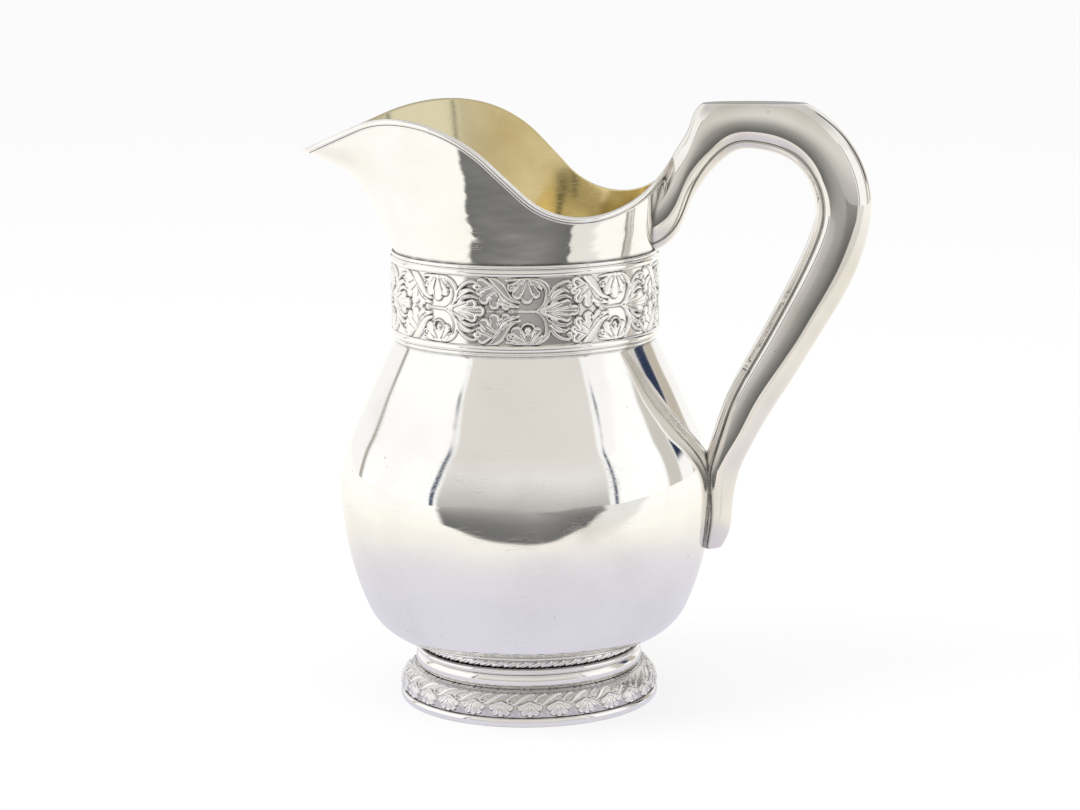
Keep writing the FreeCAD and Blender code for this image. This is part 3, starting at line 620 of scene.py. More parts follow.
def make_plain_rings(finish):
    """The half-round ring, the hollow-backed collar and the base ring, turned round the axis."""
    ring_bulge = HALF_ROUND * (TOP_RING_TOP - COLLAR_TOP)
    ring_edge = TOP_RING_OUTSIDE - ring_bulge
    collar_edge = COLLAR_INSIDE + WALL
    collar_bulge = COLLAR_OUTSIDE - collar_edge
    base_edge = BASE_OUTSIDE - BASE_BULGE
    top_ring = np.concatenate([
        bulged_run((ring_edge, COLLAR_TOP), (ring_edge, TOP_RING_TOP), ring_bulge, 18),
        [(TOP_RING_INSIDE, TOP_RING_TOP), (TOP_RING_INSIDE, COLLAR_TOP)]])
    collar = np.concatenate([
        bulged_run((collar_edge, BORDER_TOP), (collar_edge, COLLAR_TOP), collar_bulge, 18),
        bulged_run((COLLAR_INSIDE, COLLAR_TOP), (COLLAR_INSIDE, BORDER_TOP), -collar_bulge, 12)])
    base_ring = np.concatenate([
        bulged_run((base_edge, 0.0), (base_edge, BASE_TOP), BASE_BULGE, 20),
        [(BASE_LEDGE, BASE_TOP), (COLLAR_INSIDE, BASE_TOP), (COLLAR_INSIDE, 0.0)]])
    for name, profile in (("foot_top_ring", top_ring), ("foot_collar", collar),
                          ("foot_base_ring", base_ring)):
        profile = edged(profile, 0.08)
        level = profile[:, 1]
        ends = np.minimum(level - level.min(), level.max() - level)
        turn_ring(name, profile, np.clip(1 - ends / 0.35, 0, 1), finish)


def carve_ring(name, face, inside, spacing, repeats, per_repeat, relief, finish):
    """A ring whose face is moved out along its normals by a relief that repeats round the ring,
    closed by a plain back. The relief gives heights and hollow marks for one repeat."""
    columns = repeats * per_repeat
    pitch = spacing * FULL_TURN / repeats
    run = lengths_along(face)
    u, v = np.meshgrid(np.arange(per_repeat) * pitch / per_repeat, run)
    height, sunk = relief(u, v, pitch, np.minimum(v, run[-1] - v))
    profile = np.concatenate([face, [(inside, face[-1, 1]), (inside, face[0, 1])]])
    lift, mark = np.zeros((2, len(profile), columns))
    lift[:len(face)] = np.tile(height, repeats)
    mark[:len(face)] = np.tile(sunk, repeats)
    normal = -left_of(profile)
    radius = profile[:, :1] + normal[:, :1] * lift
    level = profile[:, 1:] + normal[:, 1:] * lift
    turn = CARVING_START + np.arange(columns) * FULL_TURN / columns
    points = round_axis(radius, turn, level)
    make_piece(name, points, [name], [finish], mark)


def shell_relief(u, v, pitch, edge):
    """One repeat of the border: a fan of five lobes that hangs from its hinge, a wave that leaves
    the hinge in a scroll and runs up over the next fan, and a ground of fine crossed waves."""
    shell = spokes(0.0, 5.6, 0.7, [(0.0, 1.7, 1.35), (-1.95, 2.1, 1.3), (1.95, 2.1, 1.3),
                                   (-3.1, 3.75, 1.2), (3.1, 3.75, 1.2)])
    cuts = grooves([(-0.15, 5.0, -1.05, 0.9), (0.15, 5.0, 1.05, 0.9), (-0.45, 5.1, -3.2, 2.2),
                    (0.45, 5.1, 3.2, 2.2)])
    wave = rods_along([(3.3, 4.9), (4.6, 5.2), (6.0, 6.2), (7.6, 7.6), (9.4, 8.6), (11.4, 9.0)],
                      [0.35, 0.6, 0.8, 0.8, 0.6, 0.25], 12)
    scroll = rods_along([(3.4, 5.6), (2.5, 5.5), (2.0, 6.2), (2.4, 7.2), (3.6, 8.2), (5.6, 9.0)],
                        [0.45, 0.4, 0.38, 0.36, 0.32, 0.25], 12)
    height = np.zeros(u.shape)
    for rods, level, dish in ((wave, 0.42, 0.1), (scroll, 0.72, 0.1), (shell, 0.95, 0.3)):
        height = np.maximum(height, raised(depth_inside(u, v, rods, pitch), level, dish=dish))
    height -= cut_in(height, depth_inside(u, v, cuts, pitch), 0.42, 0.2)
    top = v[-1, 0]
    height = np.maximum(height, 0.0) * smooth_step((top - v) / 0.5) * smooth_step(v / 0.4)
    sunk = np.clip((blurred(blurred(height, 2, 3), 1, 2) - height) / 0.3, 0, 1)
    sunk = np.maximum(sunk, 0.75 * (1 - smooth_step(edge / 0.4)))
    grain = np.sin(u * 7.1 + 2.3 * np.sin(v * 5.3)) * np.sin(v * 8.7 + 1.9 * np.sin(u * 4.6)) / 2
    ground = smooth_step(1 - height / 0.2)
    height = height + 0.12 * ground * grain
    sunk = np.maximum(sunk, ground * (0.22 + 0.4 * (0.5 - grain)))
    return 0.95 * height - 0.4, sunk


def sprig_relief(u, v, pitch, edge):
    """One repeat of the leaf wire: two slanting sprigs."""
    sprig = rods_along([(0.0, 0.6), (1.6, 1.5), (3.0, 2.6), (3.7, 3.5)], [0.35, 0.6, 0.5, 0.15], 8)
    twin = rods_along([(1.2, 0.4), (2.8, 1.0), (4.2, 1.9)], [0.2, 0.4, 0.15], 6)
    height = np.zeros(u.shape)
    for rods, level in ((sprig, 0.8), (twin, 0.6)):
        leaf = raised(depth_inside(u, v, rods, pitch), level, edge=0.3, dish=0.1)
        height = np.maximum(height, leaf)
    sunk = 0.4 * np.clip((blurred(height, 2, 3) - height) / 0.3, 0, 1)
    sunk = np.maximum(sunk, 0.25 * (1 - smooth_step(edge / 0.3)))
    return 0.36 * height - 0.2, sunk


def make_leaf_wire(finish):
    """A half-round wire under the bowl with pairs of slanting sprigs pressed into it."""
    edge = LEAF_OUTSIDE - LEAF_BULGE
    face = bulged_run((edge, TOP_RING_TOP), (edge, BOWL_BOTTOM), LEAF_BULGE, 30)
    carve_ring("foot_leaf_wire", face, LEAF_INSIDE, SPRIG_FACE, SPRIGS, 22, sprig_relief, finish)


def make_border(finish):
    """The cast border of the foot: a bulged profile that carries fans and waves."""
    face = bulged_run((BORDER_LOW_EDGE, BASE_TOP), (BORDER_HIGH_EDGE, BORDER_TOP), BORDER_BULGE, 62)
    carve_ring("foot_border_ring", face, BORDER_INSIDE, FAN_FACE, FANS, 46, shell_relief, finish)


# Handle, with its loop in the plane of symmetry; above WALL_REACH it stands free of the neck

THUMB_REST = 214.2
THUMB_REST_SOFT = 0.6
ROOT_LOW = 162.0
ROOT_HIGH = 197.0
ROOT_WIDTH = 20.0
WALL_REACH = 204.0
LOOP_CENTRE = np.array([81.5, 177.0])
LOOP_INSIDE = 21.0
LOOP_TOP_DEPTH = 20.4
LOOP_SIDE_DEPTH = 19.4
LOOP_WIDTH = 16.5
LEG_END_DEPTH = 16.6
LEG_END_WIDTH = 14.0
TAIL_END = 55.5
TAIL_WIDTH = 11.5
SEAM_DEPTH = 3.3
SEAM_GROOVE = 0.16
VENT_PLACE = 67.6
HANDLE_ROWS = 520
NOSE_ROWS = 14
ROOT_ROWS = 10


def handle_stations():
    """Finger-side point, back point and width of each oval: the root out of the neck, round the
    loop, down the leg on a cubic curve, and the tail along the bowl."""
    rows = []
    for finger_out, finger_up, back_out, back_up, share in (
            (-6.5, -0.5, -6.5, -20.0, 0.0), (1.2, 0.6, 2.2, -8.0, 0.0),
            (9.0, 7.8, 8.2, 1.5, 0.4), (14.1, 19.8, 12.1, 8.4, 0.8)):
        rows.append((NECK_RADIUS + finger_out, ROOT_LOW + finger_up, NECK_RADIUS + back_out,
                     ROOT_HIGH + back_up, ROOT_WIDTH + (LOOP_WIDTH - ROOT_WIDTH) * share))
    for angle in (115, 90, 60, 30, 0, -22):
        out = np.array([np.cos(np.radians(angle)), np.sin(np.radians(angle))])
        share = np.clip((90 - angle) / 90, 0, 1)
        depth = LOOP_TOP_DEPTH * (1 - share) + LOOP_SIDE_DEPTH * share
        rows.append((*LOOP_CENTRE + LOOP_INSIDE * out, *LOOP_CENTRE + (LOOP_INSIDE + depth) * out,
                     LOOP_WIDTH))
    start = np.array(rows[-1][:2])
    land = np.array([BELLY_RADIUS - 0.2, BELLY_HEIGHT + 18.0])
    poles = np.array([start, start + 40 * np.array([out[1], -out[0]]),
                      land - 22 * np.array([-0.2, -0.98]), land])
    for share in (0.25, 0.5, 0.75, 1.0):
        rest = 1 - share
        weights = np.array([rest ** 3, 3 * rest ** 2 * share, 3 * rest * share ** 2, share ** 3])
        finger = weights @ poles
        travel = np.array([rest ** 2, 2 * rest * share, share ** 2]) @ np.diff(poles, axis=0)
        travel /= np.hypot(travel[0], travel[1])
        deep = depth * rest + LEG_END_DEPTH * share - 2.31 * share ** 4
        back = finger + deep * np.array([-travel[1], travel[0]])
        rows.append((*finger, *back, LOOP_WIDTH * rest + LEG_END_WIDTH * share))
    for above, deep, share in ((28.5, 10.6, 1.1), (14.5, 7.7, 0.97), (4.5, 7.2, 0.82),
                               (1.0, 6.0, 0.64)):
        level = TAIL_END + above
        radius = bowl_radius(level)
        rows.append((radius - 2.6, level, radius + deep, level, TAIL_WIDTH * share))
    return np.array(rows)


def handle_ovals():
    """Ovals along the handle from a spline through its stations, then a rounded nose whose
    ovals shrink as a quarter circle."""
    rows = handle_stations()
    places = lengths_along((rows[:, 0:2] + rows[:, 2:4]) / 2)
    ovals = smooth_through(places, rows, np.linspace(0, places[-1], HANDLE_ROWS))
    share = np.linspace(0, 1, NOSE_ROWS + 1)[1:, None]
    last = ovals[-1]
    centre = last[0:2] * 0.45 + last[2:4] * 0.55
    shrink = np.sqrt(np.maximum(1 - share ** 2, 0))
    end = centre + np.array([[0.0, -1.3]]) * share
    nose = np.concatenate([end + (last[0:2] - centre) * shrink,
                           end + (last[2:4] - centre) * shrink, last[4] * shrink], axis=1)
    return np.concatenate([ovals, nose])


def wall_radius(points):
    """The jug's outer radius beside each point: the neck's above the seam, the bowl's below it."""
    x, y, z = np.moveaxis(points, -1, 0)
    return np.where(z > SEAM, neck_radius_at(np.arctan2(y, -x), z), bowl_radius(z))


def out_of_wall(points):
    """Points inside the jug, moved level away from its axis to the middle of the wall."""
    radius = np.hypot(points[..., 0], points[..., 1])
    skin = wall_radius(points) - WALL / 2
    inside = (radius < skin) & (points[..., 2] < WALL_REACH)
    out = np.where(inside, skin / np.maximum(radius, 1e-6), 1.0)
    return points * np.stack([out, out, np.ones_like(out)], axis=-1)


def handle_surface(ovals, angle):
    """Points of the ovals at angles counted from the finger side, cut off level for the thumb
    rest, and pushed out to the middle of the wall where they would come out inside the jug."""
    finger = ovals[:, None, 0:2]
    back = ovals[:, None, 2:4]
    flat = (finger + back) / 2 - (back - finger) / 2 * np.cos(angle)[..., None]
    y = ovals[:, None, 4] / 2 * np.sin(angle)
    z = flat[..., 1]
    over = np.clip((z - THUMB_REST) / THUMB_REST_SOFT + 1, 0, 30)
    z = np.where(over > 0, THUMB_REST - THUMB_REST_SOFT * np.exp(-over), z)
    return out_of_wall(np.stack([flat[..., 0], y, z], axis=-1))


def make_handle(finish):
    """The deep back shell and the shallow finger-side strip, each a part of the oval closed
    across the seam, with a fine raised thread on the strip beside a groove."""
    ovals = handle_ovals()
    depth = np.hypot(ovals[:, 2] - ovals[:, 0], ovals[:, 3] - ovals[:, 1])
    seam = np.minimum(SEAM_DEPTH, 0.45 * depth)
    start = np.arccos(1 - 2 * seam / np.maximum(depth, 1e-6))[:, None]
    middle = (ovals[:, 0:2] + ovals[:, 2:4]) / 2
    centre = np.insert(middle, 1, 0.0, axis=1)[:, None, :]
    share = np.linspace(0, 1, 97)[None, :]
    share = share - 0.75 * np.sin(FULL_TURN * share) / FULL_TURN
    fade = np.ones((len(ovals), 1))
    fade[-NOSE_ROWS:, 0] = np.linspace(1, 0, NOSE_ROWS)
    for name, angle, thread in (("handle_back", start + (FULL_TURN - 2 * start) * share, 0.0),
                                ("handle_inner_strip", -start + 2 * start * share, 0.3)):
        points = handle_surface(ovals, angle)
        step = np.linalg.norm(np.diff(points, axis=1), axis=2)
        run = np.concatenate([np.zeros((len(points), 1)), np.cumsum(step, axis=1)], axis=1)
        run = np.minimum(run, run[:, -1:] - run)
        normal = np.cross(np.gradient(points, axis=0), np.gradient(points, axis=1))
        normal /= np.maximum(np.linalg.norm(normal, axis=2), 1e-9)[..., None]
        normal *= np.sign(np.sum((points - centre) * normal))
        lift = thread * np.exp(-((run - 0.7) / 0.35) ** 2) - SEAM_GROOVE * np.exp(-(run / 0.3) ** 2)
        points = points + normal * (lift * fade)[..., None]
        reach = 0.24 + 0.36 * smooth_step((112 - points[..., 2]) / 25)
        vent = np.hypot(points[..., 0] - VENT_PLACE, points[..., 1])
        vent_mark = smooth_step(1.3 - vent / 0.9) * (points[..., 2] < TAIL_END + 2)
        points[..., 2] += vent_mark
        gap = np.maximum(np.hypot(points[..., 0], points[..., 1]) - wall_radius(points), 0)
        joint = 0.8 * np.exp(-(gap / 0.7) ** 2) * (points[..., 2] < WALL_REACH)
        hollow = np.maximum.reduce([np.exp(-(run / reach) ** 2), joint, vent_mark])
        close_tube(name, points, hollow, finish)


def close_tube(name, points, hollow, finish):
    """The section's points run round the columns. The tail is drawn together to a point, and the
    root in even steps that follow the wall."""
    middle = points[:1].mean(axis=1, keepdims=True)
    share = np.linspace(0, 1, ROOT_ROWS, endpoint=False)[:, None, None]
    root = out_of_wall(middle + (points[:1] - middle) * share)
    last = np.broadcast_to(points[-1:].mean(axis=1, keepdims=True), points[-1:].shape)
    rows = np.concatenate([root, points, last])
    mark = np.concatenate([np.zeros((ROOT_ROWS, points.shape[1])), hollow, hollow[-1:]])
    make_piece(name, rows, [name], [finish], mark, rows_close=False, poles=True)


# Finishes

def feed(tree, node, inputs):
    """Links a node's inputs, by name or number, to the sockets given for them, and sets the ones
    that a plain value is given for."""
    for key, value in inputs.items():
        if isinstance(value, bpy.types.NodeSocket):
            tree.links.new(value, node.inputs[key])
        else:
            node.inputs[key].default_value = value


def add_node(tree, kind, inputs=None, **settings):
    """A node of a kind with its settings made and its inputs fed."""
    node = tree.nodes.new(kind)
    for key, value in settings.items():
        setattr(node, key, value)
    feed(tree, node, inputs or {})
    return node


def lay_out(tree, column_width=220, row_height=200):
    """Places the nodes in columns by the number of links between them and the end of the tree."""
    depth = {node.name: 0 for node in tree.nodes}
    for _ in tree.nodes:
        for link in tree.links:
            start, end = link.from_node.name, link.to_node.name
            depth[start] = max(depth[start], depth[end] + 1)
    filled = [0] * (max(depth.values()) + 1)
    for node in tree.nodes:
        column = depth[node.name]
        node.location = (-column_width * column, -row_height * filled[column])
        filled[column] += 1


def node_group(name, inputs, outputs):
    """An empty shader group with named sockets, and the sockets that it is given."""
    group = bpy.data.node_groups.new(name, "ShaderNodeTree")
    for way, sockets in (("INPUT", inputs), ("OUTPUT", outputs)):
        for label, kind in sockets.items():
            group.interface.new_socket(label, in_out=way, socket_type="NodeSocket" + kind)
    return group, add_node(group, "NodeGroupInput").outputs


def end_group(group, results):
    """Links the results of a group to its outputs."""
    add_node(group, "NodeGroupOutput", results)
    lay_out(group)
    return group


def mix_colour(tree, share, first, second):
    """The first colour with a share of the second."""
    inputs = {0: share, 6: first, 7: second}
    return add_node(tree, "ShaderNodeMix", inputs, data_type="RGBA").outputs[2]


def math_node(tree, operation, *values):
    """The result of a math node on sockets and plain numbers."""
    inputs = dict(enumerate(values))
    return add_node(tree, "ShaderNodeMath", inputs, operation=operation).outputs[0]


def spread(tree, value, low, high, to_low=0.0, to_high=1.0):
    """A value stretched from one range to another and held at its ends."""
    inputs = {"Value": value, "From Min": low, "From Max": high, "To Min": to_low, "To Max": to_high}
    node = add_node(tree, "ShaderNodeMapRange", inputs, interpolation_type="SMOOTHSTEP")
    return node.outputs["Result"]


def noise(tree, vector, scale, detail=3.0, roughness=0.5):
    """Noise over a vector."""
    inputs = {"Vector": vector, "Scale": scale, "Detail": detail, "Roughness": roughness}
    return add_node(tree, "ShaderNodeTexNoise", inputs).outputs["Fac"]


# the turn of each set of hairlines, and how close together they lie
HAIRLINES = (((0.5, 0.3, 0.2), 26.0), ((1.4, 0.9, 1.9), 34.0), ((2.4, 0.2, 0.8), 22.0))
HAIRLINE_STRETCH = 30
WORN_MARK = (0.45, 0.42, 0.38, 1)
OXIDE = (0.055, 0.05, 0.045, 1)


def polish_group():
    """Hand-polished silver: hairline scratches in three ways, small pits, soft dents and cloudy
    patches. It gives a tint of the metal, a roughness and a height for the bump."""
    group, given = node_group(
        "hand_polish",
        {"Place": "Vector", "Metal": "Color", "Cloud": "Color", "Gloss": "Float",
         "Scratches": "Float", "Ragged": "Float", "Clouding": "Float"},
        {"Colour": "Color", "Roughness": "Float", "Height": "Float"})
    place = given["Place"]
    lines = 0.0
    for index, (turn, close) in enumerate(HAIRLINES):
        scale = (close, close * HAIRLINE_STRETCH, close * HAIRLINE_STRETCH)
        mapping = add_node(group, "ShaderNodeMapping",
                           {"Vector": place, "Rotation": turn, "Scale": scale})
        field = noise(group, mapping.outputs[0], 1.0, 1.0)
        near = math_node(group, "ABSOLUTE", math_node(group, "SUBTRACT", field, 0.5))
        patch = spread(group, noise(group, place, 35.0 + 9 * index), 0.5, 0.68)
        line = math_node(group, "MULTIPLY", spread(group, near, 0.013, 0.0), patch)
        lines = math_node(group, "MAXIMUM", lines, line)
    lines = math_node(group, "MULTIPLY", lines, given["Scratches"])

    cells = add_node(group, "ShaderNodeTexVoronoi", {"Vector": place, "Scale": 105.0})
    rare = spread(group, noise(group, place, 30.0), 0.48, 0.58)
    pits = math_node(group, "MULTIPLY", spread(group, cells.outputs["Distance"], 0.06, 0.03), rare)

    cloud = spread(group, noise(group, place, 18.0, 4.0, 0.6), 0.42, 0.72)
    clouded = math_node(group, "MULTIPLY", cloud, given["Clouding"])
    tint = mix_colour(group, clouded, given["Metal"], given["Cloud"])
    marks = math_node(group, "MAXIMUM", math_node(group, "MULTIPLY", lines, 0.5), pits)
    colour = mix_colour(group, math_node(group, "MULTIPLY", marks, 0.7), tint, WORN_MARK)

    rough = math_node(group, "MULTIPLY_ADD", cloud, 0.05, given["Gloss"])
    rough = math_node(group, "MULTIPLY_ADD", lines, 0.1, rough)

    squash = add_node(group, "ShaderNodeMapping", {"Vector": place, "Scale": (1.0, 1.0, 2.4)})
    soft = noise(group, place, 32.0, 1.0, 0.35)
    ragged = noise(group, squash.outputs[0], 62.0, 1.5, 0.45)
    dents = math_node(group, "MULTIPLY_ADD", ragged, given["Ragged"], soft)
    cuts = math_node(group, "ADD", lines, pits)
    height = math_node(group, "MULTIPLY_ADD", cuts, -0.006, dents)
    return end_group(group, {"Colour": colour, "Roughness": rough, "Height": height})


def oxide_group():
    """Dark oxide that polishing leaves behind in the hollows of carved work."""
    group, given = node_group(
        "oxide_in_hollows",
        {"Place": "Vector", "Colour": "Color", "Hollow": "Float", "Roughness": "Float",
         "Amount": "Float"},
        {"Colour": "Color", "Roughness": "Float"})
    cloud = spread(group, noise(group, given["Place"], 260.0), 0.25, 0.65, 0.65, 1.0)
    dark = math_node(group, "MULTIPLY", given["Hollow"], cloud)
    dark = math_node(group, "MULTIPLY", dark, given["Amount"])
    dark = math_node(group, "MINIMUM", dark, 0.97)
    colour = mix_colour(group, dark, given["Colour"], OXIDE)
    rough = math_node(group, "MULTIPLY_ADD", dark, 0.3, given["Roughness"])
    return end_group(group, {"Colour": colour, "Roughness": rough})


def metal_finish(name, polish, oxide, metal, cloud, gloss, scratches, ragged, clouding, amount, bump,
                 spout_side_tone=None):
    """A metal finish from the polish group and the oxide group. Where a spout-side tone is given,
    the colour moves towards it on the spout's side of the jug."""
    finish = bpy.data.materials.new(name)
    finish.use_nodes = True
    tree = finish.node_tree
    place = add_node(tree, "ShaderNodeTexCoord").outputs["Object"]
    wear = add_node(tree, "ShaderNodeGroup", node_tree=polish)
    dirt = add_node(tree, "ShaderNodeGroup", node_tree=oxide)
    mark = add_node(tree, "ShaderNodeAttribute", attribute_name="hollow")
    feed(tree, wear, {"Place": place, "Metal": (*metal, 1), "Cloud": (*cloud, 1), "Gloss": gloss,
                      "Scratches": scratches, "Ragged": ragged, "Clouding": clouding})
    feed(tree, dirt, {"Place": place, "Colour": wear.outputs["Colour"], "Amount": amount,
                      "Roughness": wear.outputs["Roughness"], "Hollow": mark.outputs["Fac"]})
    colour = dirt.outputs["Colour"]
    # a spout-side tone, where given, is mixed in more the nearer a point lies to the spout
    if spout_side_tone is not None:
        along = add_node(tree, "ShaderNodeSeparateXYZ", {0: place}).outputs["X"]
        along = math_node(tree, "MULTIPLY_ADD", noise(tree, place, 60.0), 0.02, along)
        share = spread(tree, along, -0.034, 0.0, 0.85, 0.0)
        colour = mix_colour(tree, share, colour, (*spout_side_tone, 1))
    relief = add_node(tree, "ShaderNodeBump", {"Strength": 1.0, "Distance": bump,
                                               "Height": wear.outputs["Height"]})
    feed(tree, tree.nodes["Principled BSDF"],
         {"Metallic": 1.0, "Base Color": colour, "Roughness": dirt.outputs["Roughness"],
          "Normal": relief.outputs["Normal"]})
    lay_out(tree)
    return finish


# Staging

CAMERA_SIDE = 9.29
CAMERA_PITCH = 10.85
CAMERA_ROLL = -0.56
CAMERA_YAW = 0.27
CAMERA_DISTANCE = 1042
CAMERA_HEIGHT = 305.5
SENSOR_WIDTH = 36.0
LENS_IN_WIDTHS = 2969 / 1080
LAMP_TARGET = (0, 0, 0.1)


def make_camera():
    """A long lens in front of the jug, a little above it and to its right, turned by a yaw, a
    pitch and a roll."""
    camera = bpy.data.cameras.new("camera")
    camera.sensor_fit = "HORIZONTAL"
    camera.sensor_width = SENSOR_WIDTH
    camera.lens = LENS_IN_WIDTHS * SENSOR_WIDTH
    camera.clip_end = 50.0
    side, pitch, roll, yaw = np.radians([CAMERA_SIDE, CAMERA_PITCH, CAMERA_ROLL, CAMERA_YAW])
    place = round_axis(CAMERA_DISTANCE, side - np.pi / 2, CAMERA_HEIGHT) * MM
    holder = put_in_scene("camera", camera)
    holder.matrix_world = (
        Matrix.Translation(place) @ Matrix.Rotation(side - yaw, 4, "Z")
        @ Matrix.Rotation(np.pi / 2 - pitch, 4, "X") @ Matrix.Rotation(roll, 4, "Z"))
    bpy.context.scene.camera = holder


def make_lamp(name, place, size, power):
    """A soft square lamp that faces the jug."""
    lamp = bpy.data.lights.new(name, "AREA")
    lamp.size = size
    lamp.energy = power
    holder = put_in_scene(name, lamp)
    holder.visible_glossy = False
    way = Vector(LAMP_TARGET) - Vector(place)
    holder.matrix_world = Matrix.LocRotScale(place, way.to_track_quat("-Z", "Y"), None)


def new_finish(name):
    """A material with an empty node tree."""
    finish = bpy.data.materials.new(name)
    finish.use_nodes = True
    finish.node_tree.nodes.clear()
    return finish, finish.node_tree


def mirrored_stage(name, points, tone):
    """A grid of stage points that glows in a tone for each point, lights nothing and shows only
    where metal mirrors it."""
    rows, columns = points.shape[:2]
    mesh = new_mesh(name, points.reshape(-1, 3), grid_faces(rows, columns, False, True))
    colour = mesh.attributes.new("tone", "FLOAT_COLOR", "POINT")
    full = np.concatenate([tone.reshape(-1, 3), np.ones((rows * columns, 1))], axis=1)
    colour.data.foreach_set("color", full.astype(np.float32).ravel())
    finish, tree = new_finish(name)
    finish.cycles.emission_sampling = "NONE"
    mark = add_node(tree, "ShaderNodeAttribute", attribute_name="tone")
    light = add_node(tree, "ShaderNodeEmission", {"Color": mark.outputs["Color"]})
    add_node(tree, "ShaderNodeOutputMaterial", {0: light.outputs[0]})
    lay_out(tree)
    mesh.materials.append(finish)
    piece = put_in_scene(name, mesh)
    piece.visible_camera = False
    piece.visible_diffuse = False
    piece.visible_shadow = False


def between(value, low, high, soft):
    """One between two bounds and zero outside, with soft edges."""
    return smooth_step((value - low) / soft + 0.5) * smooth_step((high - value) / soft + 0.5)


def laid(tone, mask, colour):
    """A tone with a colour laid over it where the mask is one."""
    return tone + (np.asarray(colour) - tone) * mask[..., None]


def by_steps(value, places, colours):
    """Colours read off straight steps between given places."""
    colours = np.asarray(colours, float)
    return np.stack([np.interp(value, places, colours[:, k]) for k in range(3)], axis=-1)


STAGE_COLUMNS = 720
TENT_ROWS = 110
TENT_RADIUS = 2.4
TENT_CENTRE = 0.1
CLOTH = (1.0, 0.998, 0.99)
ROOF = (0.72, 0.71, 0.70)
SCREEN = (1.1, 1.1, 1.09)
# the front wall's tone by height in degrees
FRONT_HEIGHTS = (-7, -3, 0, 5, 10, 20, 35, 60, 90)
FRONT_TONES = ((0.44, 0.435, 0.42), (0.48, 0.475, 0.46), (0.54, 0.53, 0.51), (0.61, 0.60, 0.58),
               (0.70, 0.685, 0.66), (0.81, 0.79, 0.76), (0.77, 0.74, 0.70), (0.64, 0.62, 0.58),
               (0.8, 0.79, 0.77))
# patches of the tent: two azimuths and two heights in degrees, each with a softness, and a tone
TENT_PATCHES = (
    (-120, -57, 2, -20, 37, 2, SCREEN), (59, 95, 2, -20, 30, 2, SCREEN),
    (-58.5, -55.5, 1.6, -20, 33, 3, (0.10, 0.12, 0.17)),
    (54.5, 57, 1.6, -20, 33, 3, (0.14, 0.16, 0.21)),
    (-126, -122, 1.5, -20, 22, 3, (0.45, 0.43, 0.39)),
    (97, 111, 3, -20, 30, 6, (0.62, 0.60, 0.55)),
    (112, 124, 2, 7, 50, 4, (0.03, 0.045, 0.09)),
    (124, 138, 4, -20, 30, 8, (0.55, 0.5, 0.42)),
    (166, 200, 4, -20, 40, 10, (0.42, 0.41, 0.40)),
    (-200, -166, 4, -20, 40, 10, (0.42, 0.41, 0.40)))


def make_tent():
    """The studio round the jug as polished metal mirrors it: white cloth, a grey front wall that
    brightens upwards between the dark edges of two white screens, and a few darker openings.
    Azimuth is counted from the camera's way, to its right."""
    azimuth, height = np.meshgrid(np.linspace(-180, 180, STAGE_COLUMNS, endpoint=False),
                                  np.linspace(-7, 90, TENT_ROWS))
    tone = np.broadcast_to(CLOTH, azimuth.shape + (3,))
    tone = laid(tone, between(height, 45, 120, 18), ROOF)
    front = by_steps(height, FRONT_HEIGHTS, FRONT_TONES)
    tone = laid(tone, between(azimuth, -53, 51, 2.5), front)
    for left, right, soft, low, high, soft_end, colour in TENT_PATCHES:
        mask = between(azimuth, left, right, soft) * between(height, low, high, soft_end)
        tone = laid(tone, mask, colour)
    around = np.radians(azimuth - 90 + CAMERA_SIDE)
    up = np.radians(height)
    level = TENT_CENTRE + TENT_RADIUS * np.sin(up)
    mirrored_stage("tent", round_axis(TENT_RADIUS * np.cos(up), around, level), tone)


# the sheet's tone by distance from the jug, with painted shade near the jug and painted light
# further out, and the tone of the floor beyond its front edge
SHEET_PLACES = (0.0, 0.1, 0.17, 0.24, 0.34, 0.6)
SHEET_TONES = ((0.72, 0.71, 0.80), (0.74, 0.73, 0.81), (0.80, 0.78, 0.82), (0.95, 0.92, 0.87),
               (1.05, 1.03, 0.96), (1.07, 1.06, 1.02))
SHEET_FRONT = 0.255
MIRRORED_FLOOR_LEVEL = 0.0002
BEYOND_PLACES = (0.26, 0.35, 0.5, 0.7, 1.0, 1.6)
BEYOND_TONES = ((0.16, 0.16, 0.157), (0.20, 0.20, 0.193), (0.27, 0.265, 0.255),
                (0.33, 0.325, 0.315), (0.38, 0.375, 0.36), (0.43, 0.425, 0.41))
# the angles at which the floor beyond ends on the left and right, by distance
END_PLACES = (0.26, 0.34, 0.6)
LEFT_ENDS = (-47.0, -49.0, -52.0)
RIGHT_ENDS = (33.0, 38.0, 47.0)


